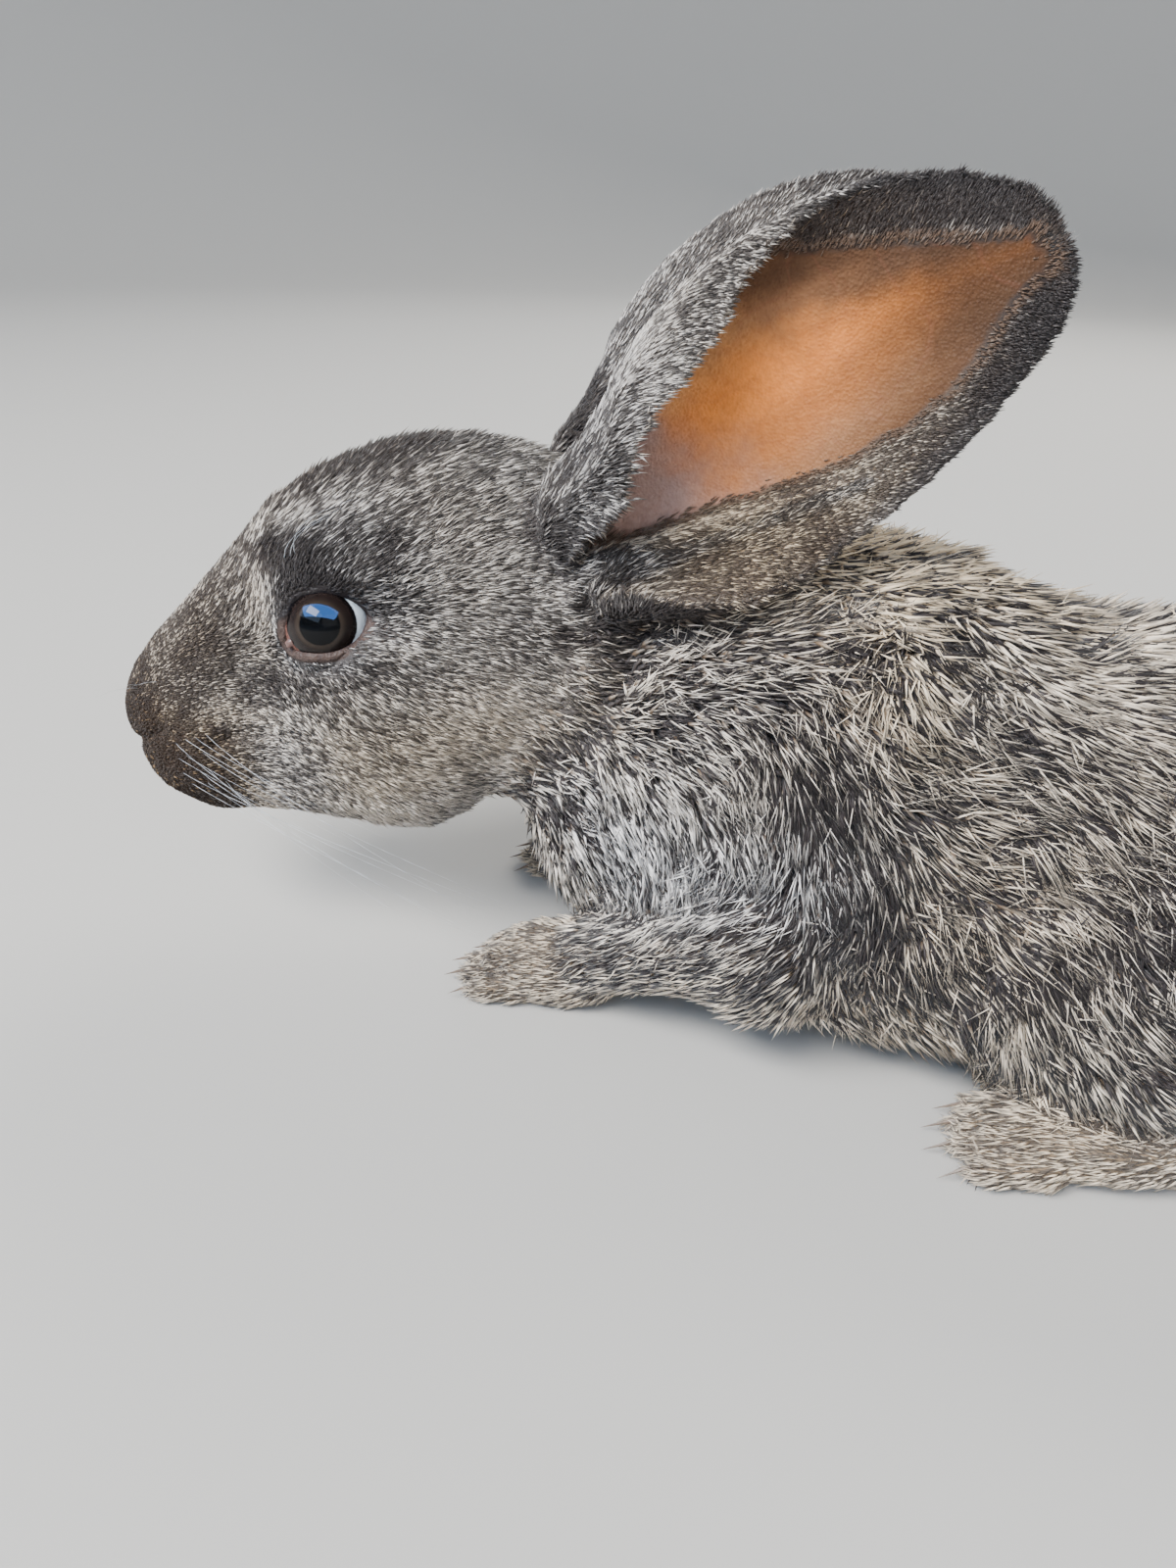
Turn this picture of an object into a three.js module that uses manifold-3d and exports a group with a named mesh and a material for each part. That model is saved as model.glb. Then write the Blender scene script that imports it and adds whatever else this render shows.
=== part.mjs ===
// A young grey-brown rabbit, life size, crouching with its nose held low and its ears laid back.
// Millimetres. +X runs from nose to tail, -Y is the rabbit's left side, +Z is up, and the soles stand on Z = 0.
// The outer form is the tips of the coat. The body is a smooth field of named muscles, which closed skins are
// cast on to, and thin cuts part those skins into head, neck, trunk and legs.
import * as THREE from "three";
import Module from "manifold-3d";

const wasm = await Module();
wasm.setup();

// ---- driving dimensions ----
const cut = 0.3; // gap between neighbouring pieces
const farAway = 700; // side of the blocks that cut by a plane
const weld = 1e-3; // points of a seam closer than this are one point
const flatness = 0.15; // facets that differ by less than this are run together
const headPitch = 12; // degrees that the nose drops below the skull's own level
const headTurn = 12; // degrees that the head turns to the rabbit's left
const headAt = [-51.8, 0, 83.6]; // middle of the skull, between the eyes
const neckPivot = [-5, 0, 84]; // the head turns about this point
const eyeRadius = 8.6;
const eyeAt = [-1.2, 17.4, -1.9]; // a right eye's centre in the skull
const lidOpening = [8.6, 2.8, 7]; // half-axes of the hollow between the lids: along, in and up
const earWidth = 54;
const earThick = 3.4;
const earTaper = 0.5; // share of an ear's length at which its tip begins to round off
const earCurl = { frontBase: 180, frontMiddle: 146, rearBase: 135, tip: 60 }; // degrees from the middle of the ear's back
const earTilt = { base: 30, tip: 12 }; // degrees that the hollow faces upwards
const earSpine = [[42, -13, -7], [51, -18, 2], [73, -22, 10.5], [95, -25, 24], [114, -29, 35.5], [136, -35, 45]];

// ---- placing ----
const toVector = (xyz) => new THREE.Vector3(...xyz);
const toRadians = THREE.MathUtils.degToRad;

function placing(at, turn = [0, 0, 0]) {
  const angles = new THREE.Euler(...turn.map(toRadians));
  const one = new THREE.Vector3(1, 1, 1);
  return new THREE.Matrix4().compose(toVector(at), new THREE.Quaternion().setFromEuler(angles), one);
}

// Head frame: origin between the eyes, +X towards the nape, +Z towards the crown.
const headPlace = placing(neckPivot, [0, 0, headTurn])
  .multiply(placing(headAt.map((value, axis) => value - neckPivot[axis]), [0, -headPitch, 0]));
const headInverse = headPlace.clone().invert();
const fromHead = (xyz) => toVector(xyz).applyMatrix4(headPlace);

// ---- fields: below zero inside, above zero outside, about a distance in millimetres ----
const moved = new THREE.Vector3();
const nearest = new THREE.Vector3();
const mirrored = new THREE.Vector3();
const inHeadFrame = new THREE.Vector3();

// An egg with half-axes size.
function lump(at, size, turn) {
  const inverse = placing(at, turn).invert();
  const axes = toVector(size);
  const least = Math.min(...size);
  return (p) => {
    moved.copy(p).applyMatrix4(inverse).divide(axes);
    const reach = moved.length();
    const slope = moved.divide(axes).length();
    return slope < 1e-6 ? -least : (reach * (reach - 1)) / slope;
  };
}

// A straight limb, round in section, from one radius to another.
function taper(from, to, fromRadius, toRadius) {
  const bone = new THREE.Line3(toVector(from), toVector(to));
  return (p) => {
    const along = bone.closestPointToPointParameter(p, true);
    const radius = THREE.MathUtils.lerp(fromRadius, toRadius, along);
    return bone.at(along, nearest).distanceTo(p) - radius;
  };
}

// The same field on both sides of the midline, given on the left, where y is below zero.
const both = (field) => (p) => field(mirrored.set(p.x, -Math.abs(p.y), p.z));

// Fields run together, with a fillet about as wide as softness.
function blend(softness, ...fields) {
  return (p) => fields.reduce((least, field) => {
    const next = field(p);
    const overlap = Math.max(softness - Math.abs(least - next), 0);
    return Math.min(least, next) - (overlap * overlap) / (4 * softness);
  }, Infinity);
}

const carriedByHead = (field) => (p) => field(inHeadFrame.copy(p).applyMatrix4(headInverse));

// ---- the rabbit's muscles ----
const headField = carriedByHead(blend(9,
  lump([19, 0, -3], [36, 25, 30]), // cranium
  taper([-4, 0, 1], [-36, 0, -15], 20, 14.5), // bridge of the nose
  lump([-45, 0, -20], [8.5, 8.5, 9]), // nose tip
  both(lump([-37, -9, -27], [12.5, 9, 11])), // whisker pads
  both(taper([-34, -5, -28], [2, -10, -22], 9, 19)), // face between the pads and the cheeks
  both(taper([-38, -3, -36], [6, -13, -35], 7, 16)), // chin and lower jaw
  both(lump([19, -14, -19], [33, 14.5, 27], [0, 12, 0])), // cheeks
  both(lump([0, -12, 5], [14, 7, 11])), // brow
));

const trunkField = blend(13,
  lump([58, 0, 53], [60, 42, 45]), // rib cage
  lump([54, 0, 80], [32, 24, 20]), // withers
  both(lump([48, -26, 54], [31, 18, 40], [0, -14, 0])), // shoulders
  lump([16, 0, 42], [30, 31, 36], [0, 25, 0]), // brisket
  lump([112, 0, 47], [60, 44, 39]), // belly
  both(lump([80, -26, 29], [60, 21, 25])), // loose skin of the flanks
  lump([124, 0, 60], [52, 33, 28]), // loin
  lump([154, 0, 54], [45, 36, 40]), // rump
  both(lump([147, -34, 44], [44, 27, 40])), // haunches
  both(lump([106, -43, 27], [20, 15, 22])), // knees
);

const neckField = blend(8,
  taper([-12, 0, 91], [36, 0, 80], 18, 24), // nape
  taper([-10, 0, 72], [34, 0, 60], 26, 36), // throat
);
const bodyField = blend(11, headField, neckField, trunkField);

const hindFootField = (side) => blend(5,
  lump([140, side * 47, 8.5], [42, 10, 10]), // long sole
  lump([176, side * 44, 11], [12, 9, 11]), // heel
  lump([104, side * 51, 7.5], [18, 12, 10]), // ball of the foot
);
const shankField = (side) => taper([112, side * 48, 25], [174, side * 45, 20], 14, 10);
const forearmField = (side) => blend(6,
  taper([46, side * 39, 34], [8, side * 28, 13], 14, 9.5),
  lump([46, side * 39, 27], [16, 12, 18]), // elbow
);
const forepawField = (side) => blend(5,
  lump([-1, side * 26, 7.5], [16, 9.5, 9.5]),
  taper([10, side * 27, 13], [0, side * 26, 9], 9, 8),
);
const tailField = taper([189, 0, 51], [196, 0, 73], 10.5, 9);

// ---- solids ----
function solidOf(geometry) {
  const mesh = new wasm.Mesh({
    numProp: 3,
    vertProperties: geometry.attributes.position.array,
    triVerts: new Uint32Array(geometry.index.array),
    tolerance: weld,
  });
  mesh.merge();
  return new wasm.Manifold(mesh);
}

function geometryOf(solid) {
  const mesh = solid.getMesh();
  return new THREE.BufferGeometry()
    .setAttribute("position", new THREE.BufferAttribute(mesh.vertProperties, 3))
    .setIndex(new THREE.BufferAttribute(mesh.triVerts, 1));
}

const largest = (solid) => solid.decompose().reduce((a, b) => (a.volume() > b.volume() ? a : b));

// A closed skin round a spine. A capsule's rows are laid along the spine, and each of its points goes
// straight out until it is grown millimetres outside the field.
function cast(field, spine, { around, along, caps }, grown = 0) {
  const geometry = new THREE.CapsuleGeometry(1, 1, caps, around, along);
  const points = geometry.attributes.position;
  const across = new THREE.Vector3(0, 1, 0);
  const step = 1.5;
  const halvings = 12;
  for (let i = 0; i < points.count; i++) {
    const out = new THREE.Vector3().fromBufferAttribute(points, i);
    const level = THREE.MathUtils.clamp(out.y, -0.5, 0.5);
    const root = spine.getPointAt(level + 0.5);
    const forward = spine.getTangentAt(level + 0.5);
    const up = new THREE.Vector3().crossVectors(forward, across).normalize();
    const side = new THREE.Vector3().crossVectors(up, forward);
    const ray = new THREE.Vector3()
      .addScaledVector(up, out.x)
      .addScaledVector(forward, out.y - level)
      .addScaledVector(side, out.z)
      .normalize();
    const reach = (distance) => field(moved.copy(root).addScaledVector(ray, distance).clone()) - grown;
    let inside = 0;
    let outside = step;
    while (reach(outside) < 0) {
      inside = outside;
      outside += step;
    }
    for (let n = 0; n < halvings; n++) {
      const middle = (inside + outside) / 2;
      if (reach(middle) < 0) inside = middle;
      else outside = middle;
    }
    points.setXYZ(i, ...root.addScaledVector(ray, outside).toArray());
  }
  return solidOf(geometry);
}

const line = (...points) => new THREE.CatmullRomCurve3(points.map(toVector));

// A great block whose face lies at a point, on the side that the normal points to.
function blockBeyond(point, normal) {
  const facing = new THREE.Quaternion().setFromUnitVectors(new THREE.Vector3(0, 0, 1), normal);
  const geometry = new THREE.BoxGeometry(farAway, farAway, farAway)
    .translate(0, 0, farAway / 2)
    .applyQuaternion(facing)
    .translate(...point.toArray());
  return solidOf(geometry);
}

// Parts a solid at a plane: what lies behind the plane, and what lies beyond the thin cut.
function partAt(solid, at, direction) {
  const normal = direction.clone().normalize();
  const past = at.clone().addScaledVector(normal, cut);
  return [solid.subtract(blockBeyond(at, normal)), solid.subtract(blockBeyond(past, normal.clone().negate()))];
}

// Parts a solid by an egg: what is inside it, and what is outside the thin cut round it.
function partByEgg(solid, at, size, turn = [0, 0, 0], place = new THREE.Matrix4()) {
  const egg = (grown) => solidOf(new THREE.SphereGeometry(1, 16, 12)
    .scale(...size.map((half) => half + grown))
    .applyMatrix4(placing(at, turn))
    .applyMatrix4(place));
  return [largest(solid.intersect(egg(0))), largest(solid.subtract(egg(cut)))];
}

// ---- the ears ----
const smooth = THREE.MathUtils.smoothstep;

// How an ear is shaped at a share of its length. Its section is part of an egg: width is half of the egg's
// width, depth half of its depth, and front and rear are the angles that its two margins curl round to.
function earSection(share) {
  const { frontBase, frontMiddle, rearBase, tip: curlTip } = earCurl;
  const frontNear = THREE.MathUtils.lerp(frontBase, frontMiddle, smooth(share, 0.24, 0.4));
  const front = THREE.MathUtils.lerp(frontNear, curlTip, smooth(share, 0.45, 1));
  const rear = THREE.MathUtils.lerp(rearBase, curlTip, smooth(share, 0.14, 0.5));
  const root = Math.min(1, 12 * share);
  const tip = Math.sqrt(1 - Math.max(0, (share - earTaper) / (1 - earTaper)) ** 2.3);
  const width = (earWidth / 2) * (0.5 + 0.5 * smooth(share, 0.08, 0.55)) * root * tip;
  const depth = (3.5 + 8 * smooth(share, 0.1, 0.34) - 5 * smooth(share, 0.36, 0.9)) * root * tip;
  return { front: toRadians(front), rear: toRadians(rear), width, depth };
}

// The left ear, in the head's frame.
function earSolid() {
  const geometry = new THREE.SphereGeometry(1, 28, 18);
  const points = geometry.attributes.position;
  const shares = geometry.attributes.uv;
  const spine = line(...earSpine);
  for (let i = 0; i < points.count; i++) {
    const row = 1 - shares.getY(i);
    const share = (row + Math.sin(row * Math.PI / 2)) / 2; // rows are closer together at the tip
    const turn = shares.getX(i);
    const { front, rear, width, depth } = earSection(share);
    const outer = turn <= 0.5;
    const across = outer ? 1 - 4 * turn : 4 * turn - 3; // 1 at the front margin, -1 at the rear one
    const rim = Math.sqrt(Math.max(0, 1 - across ** 6));
    const thick = (earThick / 2) * rim * Math.min(1, 8 * share, 12 * (1 - share)) * (outer ? 1 : -1);
    const angle = across * (across > 0 ? front : rear);
    const forward = spine.getTangentAt(share);
    const tilt = toRadians(THREE.MathUtils.lerp(earTilt.base, earTilt.tip, smooth(share, 0, 0.8)));
    const outwards = new THREE.Vector3(0, -Math.cos(tilt), Math.sin(tilt));
    outwards.addScaledVector(forward, -outwards.dot(forward)).normalize();
    const frontwards = new THREE.Vector3().crossVectors(outwards, forward);
    const point = spine.getPointAt(share)
      .addScaledVector(frontwards, (width + thick) * Math.sin(angle))
      .addScaledVector(outwards, depth - (depth + thick) * Math.cos(angle));
    points.setXYZ(i, ...point.toArray());
  }
  return solidOf(geometry);
}

// ---- casting and parting ----
const headSpine = line(...[[-46, 0, -22], [-20, 0, -14], [12, 0, -8], [52, 0, -4]]
  .map((xyz) => fromHead(xyz).toArray()));
const neckSpine = line([-26, 0, 78], [8, 0, 74], [44, 0, 62]);
const trunkSpine = line([24, 0, 48], [60, 0, 52], [110, 0, 50], [168, 0, 58]);
const headMesh = { around: 30, along: 12, caps: 6 };
const neckMesh = { around: 26, along: 6, caps: 1 };
const trunkMesh = { around: 30, along: 13, caps: 5 };
const limbMesh = { around: 10, along: 5, caps: 2 };
const toeMesh = { around: 6, along: 1, caps: 2 };

const headDirection = new THREE.Vector3(0.89, -0.05, -0.45);
const nape = new THREE.Vector3(2, 0, 78);
const chestDirection = new THREE.Vector3(0.93, 0, -0.37);
const chestStart = new THREE.Vector3(32, 0, 62);
const backwards = new THREE.Vector3(1, 0, 0);

let [head] = partAt(cast(bodyField, headSpine, headMesh), nape, headDirection);
const [, behindHead] = partAt(cast(bodyField, neckSpine, neckMesh), nape, headDirection);
const [neck] = partAt(behindHead, chestStart, chestDirection);
let [, trunk] = partAt(cast(bodyField, trunkSpine, trunkMesh), chestStart, chestDirection);
const grownHead = cast(bodyField, headSpine, headMesh, cut);
const grownNeck = cast(bodyField, neckSpine, neckMesh, cut);
const grownTrunk = cast(bodyField, trunkSpine, trunkMesh, cut);
const floorBlock = blockBeyond(new THREE.Vector3(0, 0, 0), new THREE.Vector3(0, 0, -1));

const nodes = new Map(); // name to solid
const sides = { left: -1, right: 1 };

for (const [name, side] of Object.entries(sides)) {
  let thigh;
  [thigh, trunk] = partByEgg(trunk, [139, side * 63, 50], [52, 32, 54]);
  nodes.set(`${name}_thigh`, thigh);
  let upperArm;
  [upperArm, trunk] = partByEgg(trunk, [49, side * 56, 55], [25, 25, 40], [0, -14, 0]);
  nodes.set(`${name}_upper_arm`, upperArm);
}
const [chest, behindChest] = partAt(trunk, new THREE.Vector3(82, 0, 50), backwards);
const [loin, rump] = partAt(behindChest, new THREE.Vector3(134, 0, 50), backwards);

// A paw with its toes spread in a fan, and a claw in each toe.
function addPaw(label, field, spine, toes) {
  let paw = cast(field, spine, limbMesh);
  let grownPaw = cast(field, spine, limbMesh, cut);
  toes.forEach(({ from, to, radius, claw }, number) => {
    const toe = taper(from, to, radius, radius * 0.8);
    paw = paw.add(cast(toe, line(from, to), toeMesh));
    grownPaw = grownPaw.add(cast(toe, line(from, to), toeMesh, cut));
    nodes.set(`${label}_claw_${number + 1}`, clawSolid(from, to, claw));
  });
  toes.forEach((_, number) => {
    const key = `${label}_claw_${number + 1}`;
    nodes.set(key, largest(nodes.get(key).subtract(grownPaw)));
  });
  nodes.set(label, largest(paw.subtract(grownTrunk).subtract(grownNeck).subtract(floorBlock)));
  return grownPaw;
}

// A claw curves forwards and down out of the end of its toe.
function clawSolid(from, to, { length, radius }) {
  const start = toVector(to);
  const forward = start.clone().sub(toVector(from)).normalize();
  const rise = 1.2;
  start.z += rise;
  const cone = new THREE.ConeGeometry(radius, length * 1.6, 6, 3).translate(0, length * 0.3, 0);
  const points = cone.attributes.position;
  const side = forward.clone().cross(new THREE.Vector3(0, 0, 1)).normalize();
  for (let i = 0; i < points.count; i++) {
    const along = points.getY(i);
    const droop = -0.028 * Math.max(0, along) ** 2;
    const place = start.clone()
      .addScaledVector(forward, along)
      .addScaledVector(side, points.getX(i) * 0.8);
    place.z += points.getZ(i) + droop;
    points.setXYZ(i, ...place.toArray());
  }
  return solidOf(cone);
}

const fan = [-1.5, -0.5, 0.5, 1.5];
for (const [name, side] of Object.entries(sides)) {
  const foot = line([180, side * 44, 9], [140, side * 47, 8], [104, side * 51, 7.5], [96, side * 51.5, 7]);
  const hindToes = fan.map((spread) => ({
    from: [101, side * 51.5 + spread * 4.2, 4.8],
    to: [87 + Math.abs(spread) * 2.4, side * 52.5 + spread * 5.2, 3.8],
    radius: 5.2,
    claw: { length: 9.5, radius: 1.6 },
  }));
  const grownFoot = addPaw(`${name}_hind_foot`, hindFootField(side), foot, hindToes);

  const shank = cast(shankField(side), line([112, side * 48, 25], [174, side * 45, 20]), limbMesh);
  nodes.set(`${name}_shank`, largest(shank.subtract(grownTrunk).subtract(grownFoot).subtract(floorBlock)));

  const pawLine = line([10, side * 27, 11], [-8, side * 26, 7]);
  const foreToes = fan.map((spread) => ({
    from: [-6, side * 26 + spread * 3.4, 4.2],
    to: [-18 + Math.abs(spread) * 2.6, side * 26 + spread * 4.6, 3.3],
    radius: 4.3,
    claw: { length: 8, radius: 1.4 },
  }));
  foreToes.push({ // the dewclaw, on the inner side
    from: [5, side * 20, 8.5],
    to: [-3, side * 17, 6.5],
    radius: 3.2,
    claw: { length: 6, radius: 1.2 },
  });
  const grownPaw = addPaw(`${name}_forepaw`, forepawField(side), pawLine, foreToes);

  const arm = cast(forearmField(side), line([46, side * 39, 32], [8, side * 28, 13]), limbMesh);
  nodes.set(`${name}_forearm`, largest(
    arm.subtract(grownTrunk).subtract(grownNeck).subtract(grownPaw).subtract(floorBlock),
  ));
}

const tail = cast(tailField, line([189, 0, 51], [196, 0, 73]), limbMesh).subtract(grownTrunk);

const leftEar = earSolid();
const ears = { left: leftEar, right: leftEar.mirror([0, 1, 0]) };
for (const [name, side] of Object.entries(sides)) {
  const ear = ears[name].transform(headPlace.elements);
  nodes.set(`${name}_ear`, largest(ear.subtract(grownHead).subtract(grownNeck).subtract(grownTrunk)));
  const eye = (radius) => solidOf(new THREE.SphereGeometry(radius, 18, 12)
    .rotateX(Math.PI / 2)
    .translate(...fromHead([eyeAt[0], side * eyeAt[1], eyeAt[2]]).toArray()));
  nodes.set(`${name}_eye`, eye(eyeRadius));
  const opening = solidOf(new THREE.SphereGeometry(1, 14, 8)
    .scale(...lidOpening)
    .rotateY(toRadians(-8))
    .translate(eyeAt[0], side * (eyeAt[1] + eyeRadius), eyeAt[2])
    .applyMatrix4(headPlace));
  head = head.subtract(eye(eyeRadius + cut)).subtract(opening);
}

let nose;
[nose, head] = partByEgg(head, [-57, 0, -18], [8, 7, 6.5], [0, 20, 0], headPlace);
const jawPlane = fromHead([-40, 0, -38]);
const downwards = new THREE.Vector3(0.12, 0, -1).transformDirection(headPlace);
const [skull, lowerJaw] = partAt(head, jawPlane, downwards);

nodes.set("head", largest(skull));
nodes.set("lower_jaw", largest(lowerJaw));
nodes.set("nose", nose);
nodes.set("neck", largest(neck));
nodes.set("chest", largest(chest));
nodes.set("loin", largest(loin));
nodes.set("rump", largest(rump));
nodes.set("tail", largest(tail));

// ---- materials and the finished rabbit ----
const materials = {
  coat: new THREE.MeshStandardMaterial({ color: 0x6b6258, roughness: 0.9, metalness: 0 }),
  ear: new THREE.MeshStandardMaterial({ color: 0xa77a5c, roughness: 0.8, metalness: 0 }),
  eye: new THREE.MeshStandardMaterial({ color: 0x1c1310, roughness: 0.08, metalness: 0 }),
  claw: new THREE.MeshStandardMaterial({ color: 0x4a3f36, roughness: 0.4, metalness: 0 }),
  nose: new THREE.MeshStandardMaterial({ color: 0x3a302a, roughness: 0.7, metalness: 0 }),
};

function materialFor(name) {
  const kind = ["claw", "eye", "ear", "nose"].find((word) => name.split("_").includes(word));
  return materials[kind ?? "coat"];
}

const rabbit = new THREE.Group();
for (const [name, solid] of nodes) {
  const tolerance = name.includes("claw") ? flatness / 5 : flatness;
  const mesh = new THREE.Mesh(geometryOf(solid.asOriginal().simplify(tolerance)), materialFor(name));
  mesh.name = name;
  rabbit.add(mesh);
}

// The origin is the middle of the footprint of the whole rabbit, on the floor.
const box = new THREE.Box3().setFromObject(rabbit);
const middle = box.getCenter(new THREE.Vector3());
rabbit.position.set(-middle.x, -middle.y, -box.min.z);
const root = new THREE.Group().add(rabbit);

export default root;
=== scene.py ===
import math

import bmesh
import bpy
import numpy as np
from mathutils import Matrix, Vector
from mathutils.bvhtree import BVHTree
from mathutils.kdtree import KDTree


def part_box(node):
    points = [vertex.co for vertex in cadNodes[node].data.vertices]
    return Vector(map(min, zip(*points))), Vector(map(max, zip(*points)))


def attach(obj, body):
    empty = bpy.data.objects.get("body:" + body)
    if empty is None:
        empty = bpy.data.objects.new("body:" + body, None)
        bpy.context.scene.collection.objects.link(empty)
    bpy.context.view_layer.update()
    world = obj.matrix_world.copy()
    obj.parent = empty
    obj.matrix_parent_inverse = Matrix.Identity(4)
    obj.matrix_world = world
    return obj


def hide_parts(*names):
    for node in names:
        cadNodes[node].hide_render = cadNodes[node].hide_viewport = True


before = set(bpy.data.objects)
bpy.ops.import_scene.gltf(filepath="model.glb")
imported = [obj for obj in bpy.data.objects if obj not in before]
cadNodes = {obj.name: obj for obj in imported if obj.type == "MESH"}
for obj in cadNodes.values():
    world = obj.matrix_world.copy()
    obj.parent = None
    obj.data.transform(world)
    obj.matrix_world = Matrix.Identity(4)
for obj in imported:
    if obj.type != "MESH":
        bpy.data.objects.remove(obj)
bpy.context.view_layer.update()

scene = bpy.context.scene
mm = 0.001
sides = {"left": -1, "right": 1}  # the rabbit faces -X, so its left side is -Y


# small helpers

def smoothStep(low, high, value):
    share = np.clip((value - low) / (high - low), 0, 1)
    return share * share * (3 - 2 * share)


def bell(value, width):
    return np.exp(-(value / width) ** 2)


def blendTo(first, second, share):
    return first + (second - first) * share


def unit(vectors):
    return vectors / np.maximum(np.linalg.norm(vectors, axis=-1, keepdims=True), 1e-12)


def dot(first, second):
    return np.sum(first * second, axis=-1)


def latticeValue(corner, seed):  # a fixed random number from -1 to 1 for each lattice point
    x, y, z = (corner[..., axis].astype(np.uint64) for axis in range(3))
    mixed = x * np.uint64(374761393) + y * np.uint64(668265263) + z * np.uint64(2246822519)
    mixed = (mixed + np.uint64(seed) * np.uint64(3266489917)) & np.uint64(0xFFFFFFFF)
    mixed = ((mixed ^ (mixed >> np.uint64(13))) * np.uint64(1274126177)) & np.uint64(0xFFFFFFFF)
    mixed = mixed ^ (mixed >> np.uint64(16))
    return (mixed & np.uint64(0xFFFFFF)).astype(float) / 0xFFFFFF * 2 - 1


def softNoise(points, size, seed):  # smooth random field from about -1 to 1, with lumps of that size
    scaled = points / size + 1000
    cell = np.floor(scaled)
    inside = scaled - cell
    inside = inside * inside * (3 - 2 * inside)
    cell = cell.astype(np.int64)
    total = np.zeros(len(points))
    for corner in np.ndindex(2, 2, 2):
        step = np.array(corner)
        weight = np.prod(np.where(step == 1, inside, 1 - inside), axis=1)
        total += weight * latticeValue(cell + step, seed)
    return total


def softVectors(points, size, seed):
    return np.stack([softNoise(points, size, seed + axis) for axis in range(3)], axis=1)


def gapTo(points, spot):  # mm from each point to one spot
    return np.linalg.norm(points - np.array(spot), axis=1) / mm


def toPaint(red, green, blue):  # screen colour, 0 to 255, to the linear colour that shaders use
    steps = (red / 255, green / 255, blue / 255)
    return tuple(s / 12.92 if s <= 0.04045 else ((s + 0.055) / 1.055) ** 2.4 for s in steps) + (1,)


def palette(**colours):
    return {name: toPaint(*colour) for name, colour in colours.items()}


def newPiece(name, mesh):
    piece = bpy.data.objects.new(name, mesh)
    scene.collection.objects.link(piece)
    return piece


def shapedPiece(name, bm, smooth=False):
    mesh = bpy.data.meshes.new(name)
    bm.to_mesh(mesh)
    bm.free()
    if smooth:
        mesh.shade_smooth()
    return newPiece(name, mesh)


def movePoints(mesh, points):
    mesh.vertices.foreach_set("co", points.astype(np.float32).ravel())
    mesh.update()


def leftSide(points):  # both sides as the left one, -Y
    return points * [1, 0, 1] - np.abs(points) * [0, 1, 0]


def meshFromArrays(name, points, faces):
    mesh = bpy.data.meshes.new(name)
    mesh.vertices.add(len(points))
    mesh.vertices.foreach_set("co", points.astype(np.float32).ravel())
    corners = faces.shape[1]
    mesh.loops.add(len(faces) * corners)
    mesh.loops.foreach_set("vertex_index", faces.astype(np.int32).ravel())
    mesh.polygons.add(len(faces))
    mesh.polygons.foreach_set("loop_start", np.arange(0, len(faces) * corners, corners, dtype=np.int32))
    mesh.update(calc_edges=True)
    return mesh


def readArray(items, name, kind, width=3):  # one row of numbers for each item
    values = np.zeros(len(items) * width, kind)
    items.foreach_get(name, values)
    return values.reshape(-1, width)


def readPoints(mesh):
    return readArray(mesh.vertices, "co", np.float32).astype(float)


def readTriangles(mesh):
    mesh.calc_loop_triangles()
    return readArray(mesh.loop_triangles, "vertices", np.int32)


def readEdges(mesh):
    return readArray(mesh.edges, "vertices", np.int32, 2)


def pointNormals(points, triangles):
    corners = points[triangles]
    flat = np.cross(corners[:, 1] - corners[:, 0], corners[:, 2] - corners[:, 0])
    total = np.zeros_like(points)
    for axis in range(3):
        for corner in range(3):
            total[:, axis] += np.bincount(triangles[:, corner], flat[:, axis], len(points))
    return unit(total)


def spreadOut(values, edges, rounds, share=1.0):  # each point takes the mean of its neighbours
    first, second = edges.T
    size = len(values)
    count = np.maximum(np.bincount(first, minlength=size) + np.bincount(second, minlength=size), 1)
    flat = values.reshape(size, -1).astype(float)
    for _ in range(rounds):
        near = np.empty_like(flat)
        for column in range(flat.shape[1]):
            near[:, column] = (np.bincount(first, flat[second, column], size)
                               + np.bincount(second, flat[first, column], size)) / count
        flat = flat + (near - flat) * share
    return flat.reshape(values.shape)


def storeField(mesh, name, values):
    kind = "FLOAT" if values.ndim == 1 else "FLOAT_VECTOR"
    layer = mesh.attributes.get(name) or mesh.attributes.new(name, kind, "POINT")
    layer.data.foreach_set("value" if values.ndim == 1 else "vector", values.astype(np.float32).ravel())


def readField(mesh, name):
    layer = mesh.attributes[name]
    if layer.data_type == "FLOAT":
        return readArray(layer.data, "value", np.float32, 1)[:, 0].astype(float)
    return readArray(layer.data, "vector", np.float32).astype(float)


# camera

camera = {
    "lens": 27.045,
    "sensor": 36,
    "at": (-3.556, -230.292, 163.0),  # mm
    "turn": 12,  # degrees from +Y towards -X
    "pitch": 27.8,
    "roll": 1.8,
}


def addCamera():
    data = bpy.data.cameras.new("camera")
    data.lens = camera["lens"]
    data.sensor_width = camera["sensor"]
    data.sensor_fit = "AUTO"
    data.clip_start = 0.01
    data.clip_end = 60
    holder = bpy.data.objects.new("camera", data)
    scene.collection.objects.link(holder)
    aim = (Matrix.Rotation(math.radians(camera["turn"]), 4, "Z")
           @ Matrix.Rotation(math.radians(90 - camera["pitch"]), 4, "X")
           @ Matrix.Rotation(math.radians(camera["roll"]), 4, "Z"))
    holder.matrix_world = Matrix.Translation(Vector(camera["at"]) * mm) @ aim
    scene.camera = holder


addCamera()
print("camera: in place")


# the head's own frame: origin between the eyes, nose towards -X, left side -Y

head = {
    "pitch": 12,  # degrees that the nose drops
    "turn": 12,  # degrees that the head turns to the left
    "eyeAt": (-1.2, 17.4, -1.9),  # a right eye's centre, mm
}


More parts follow.
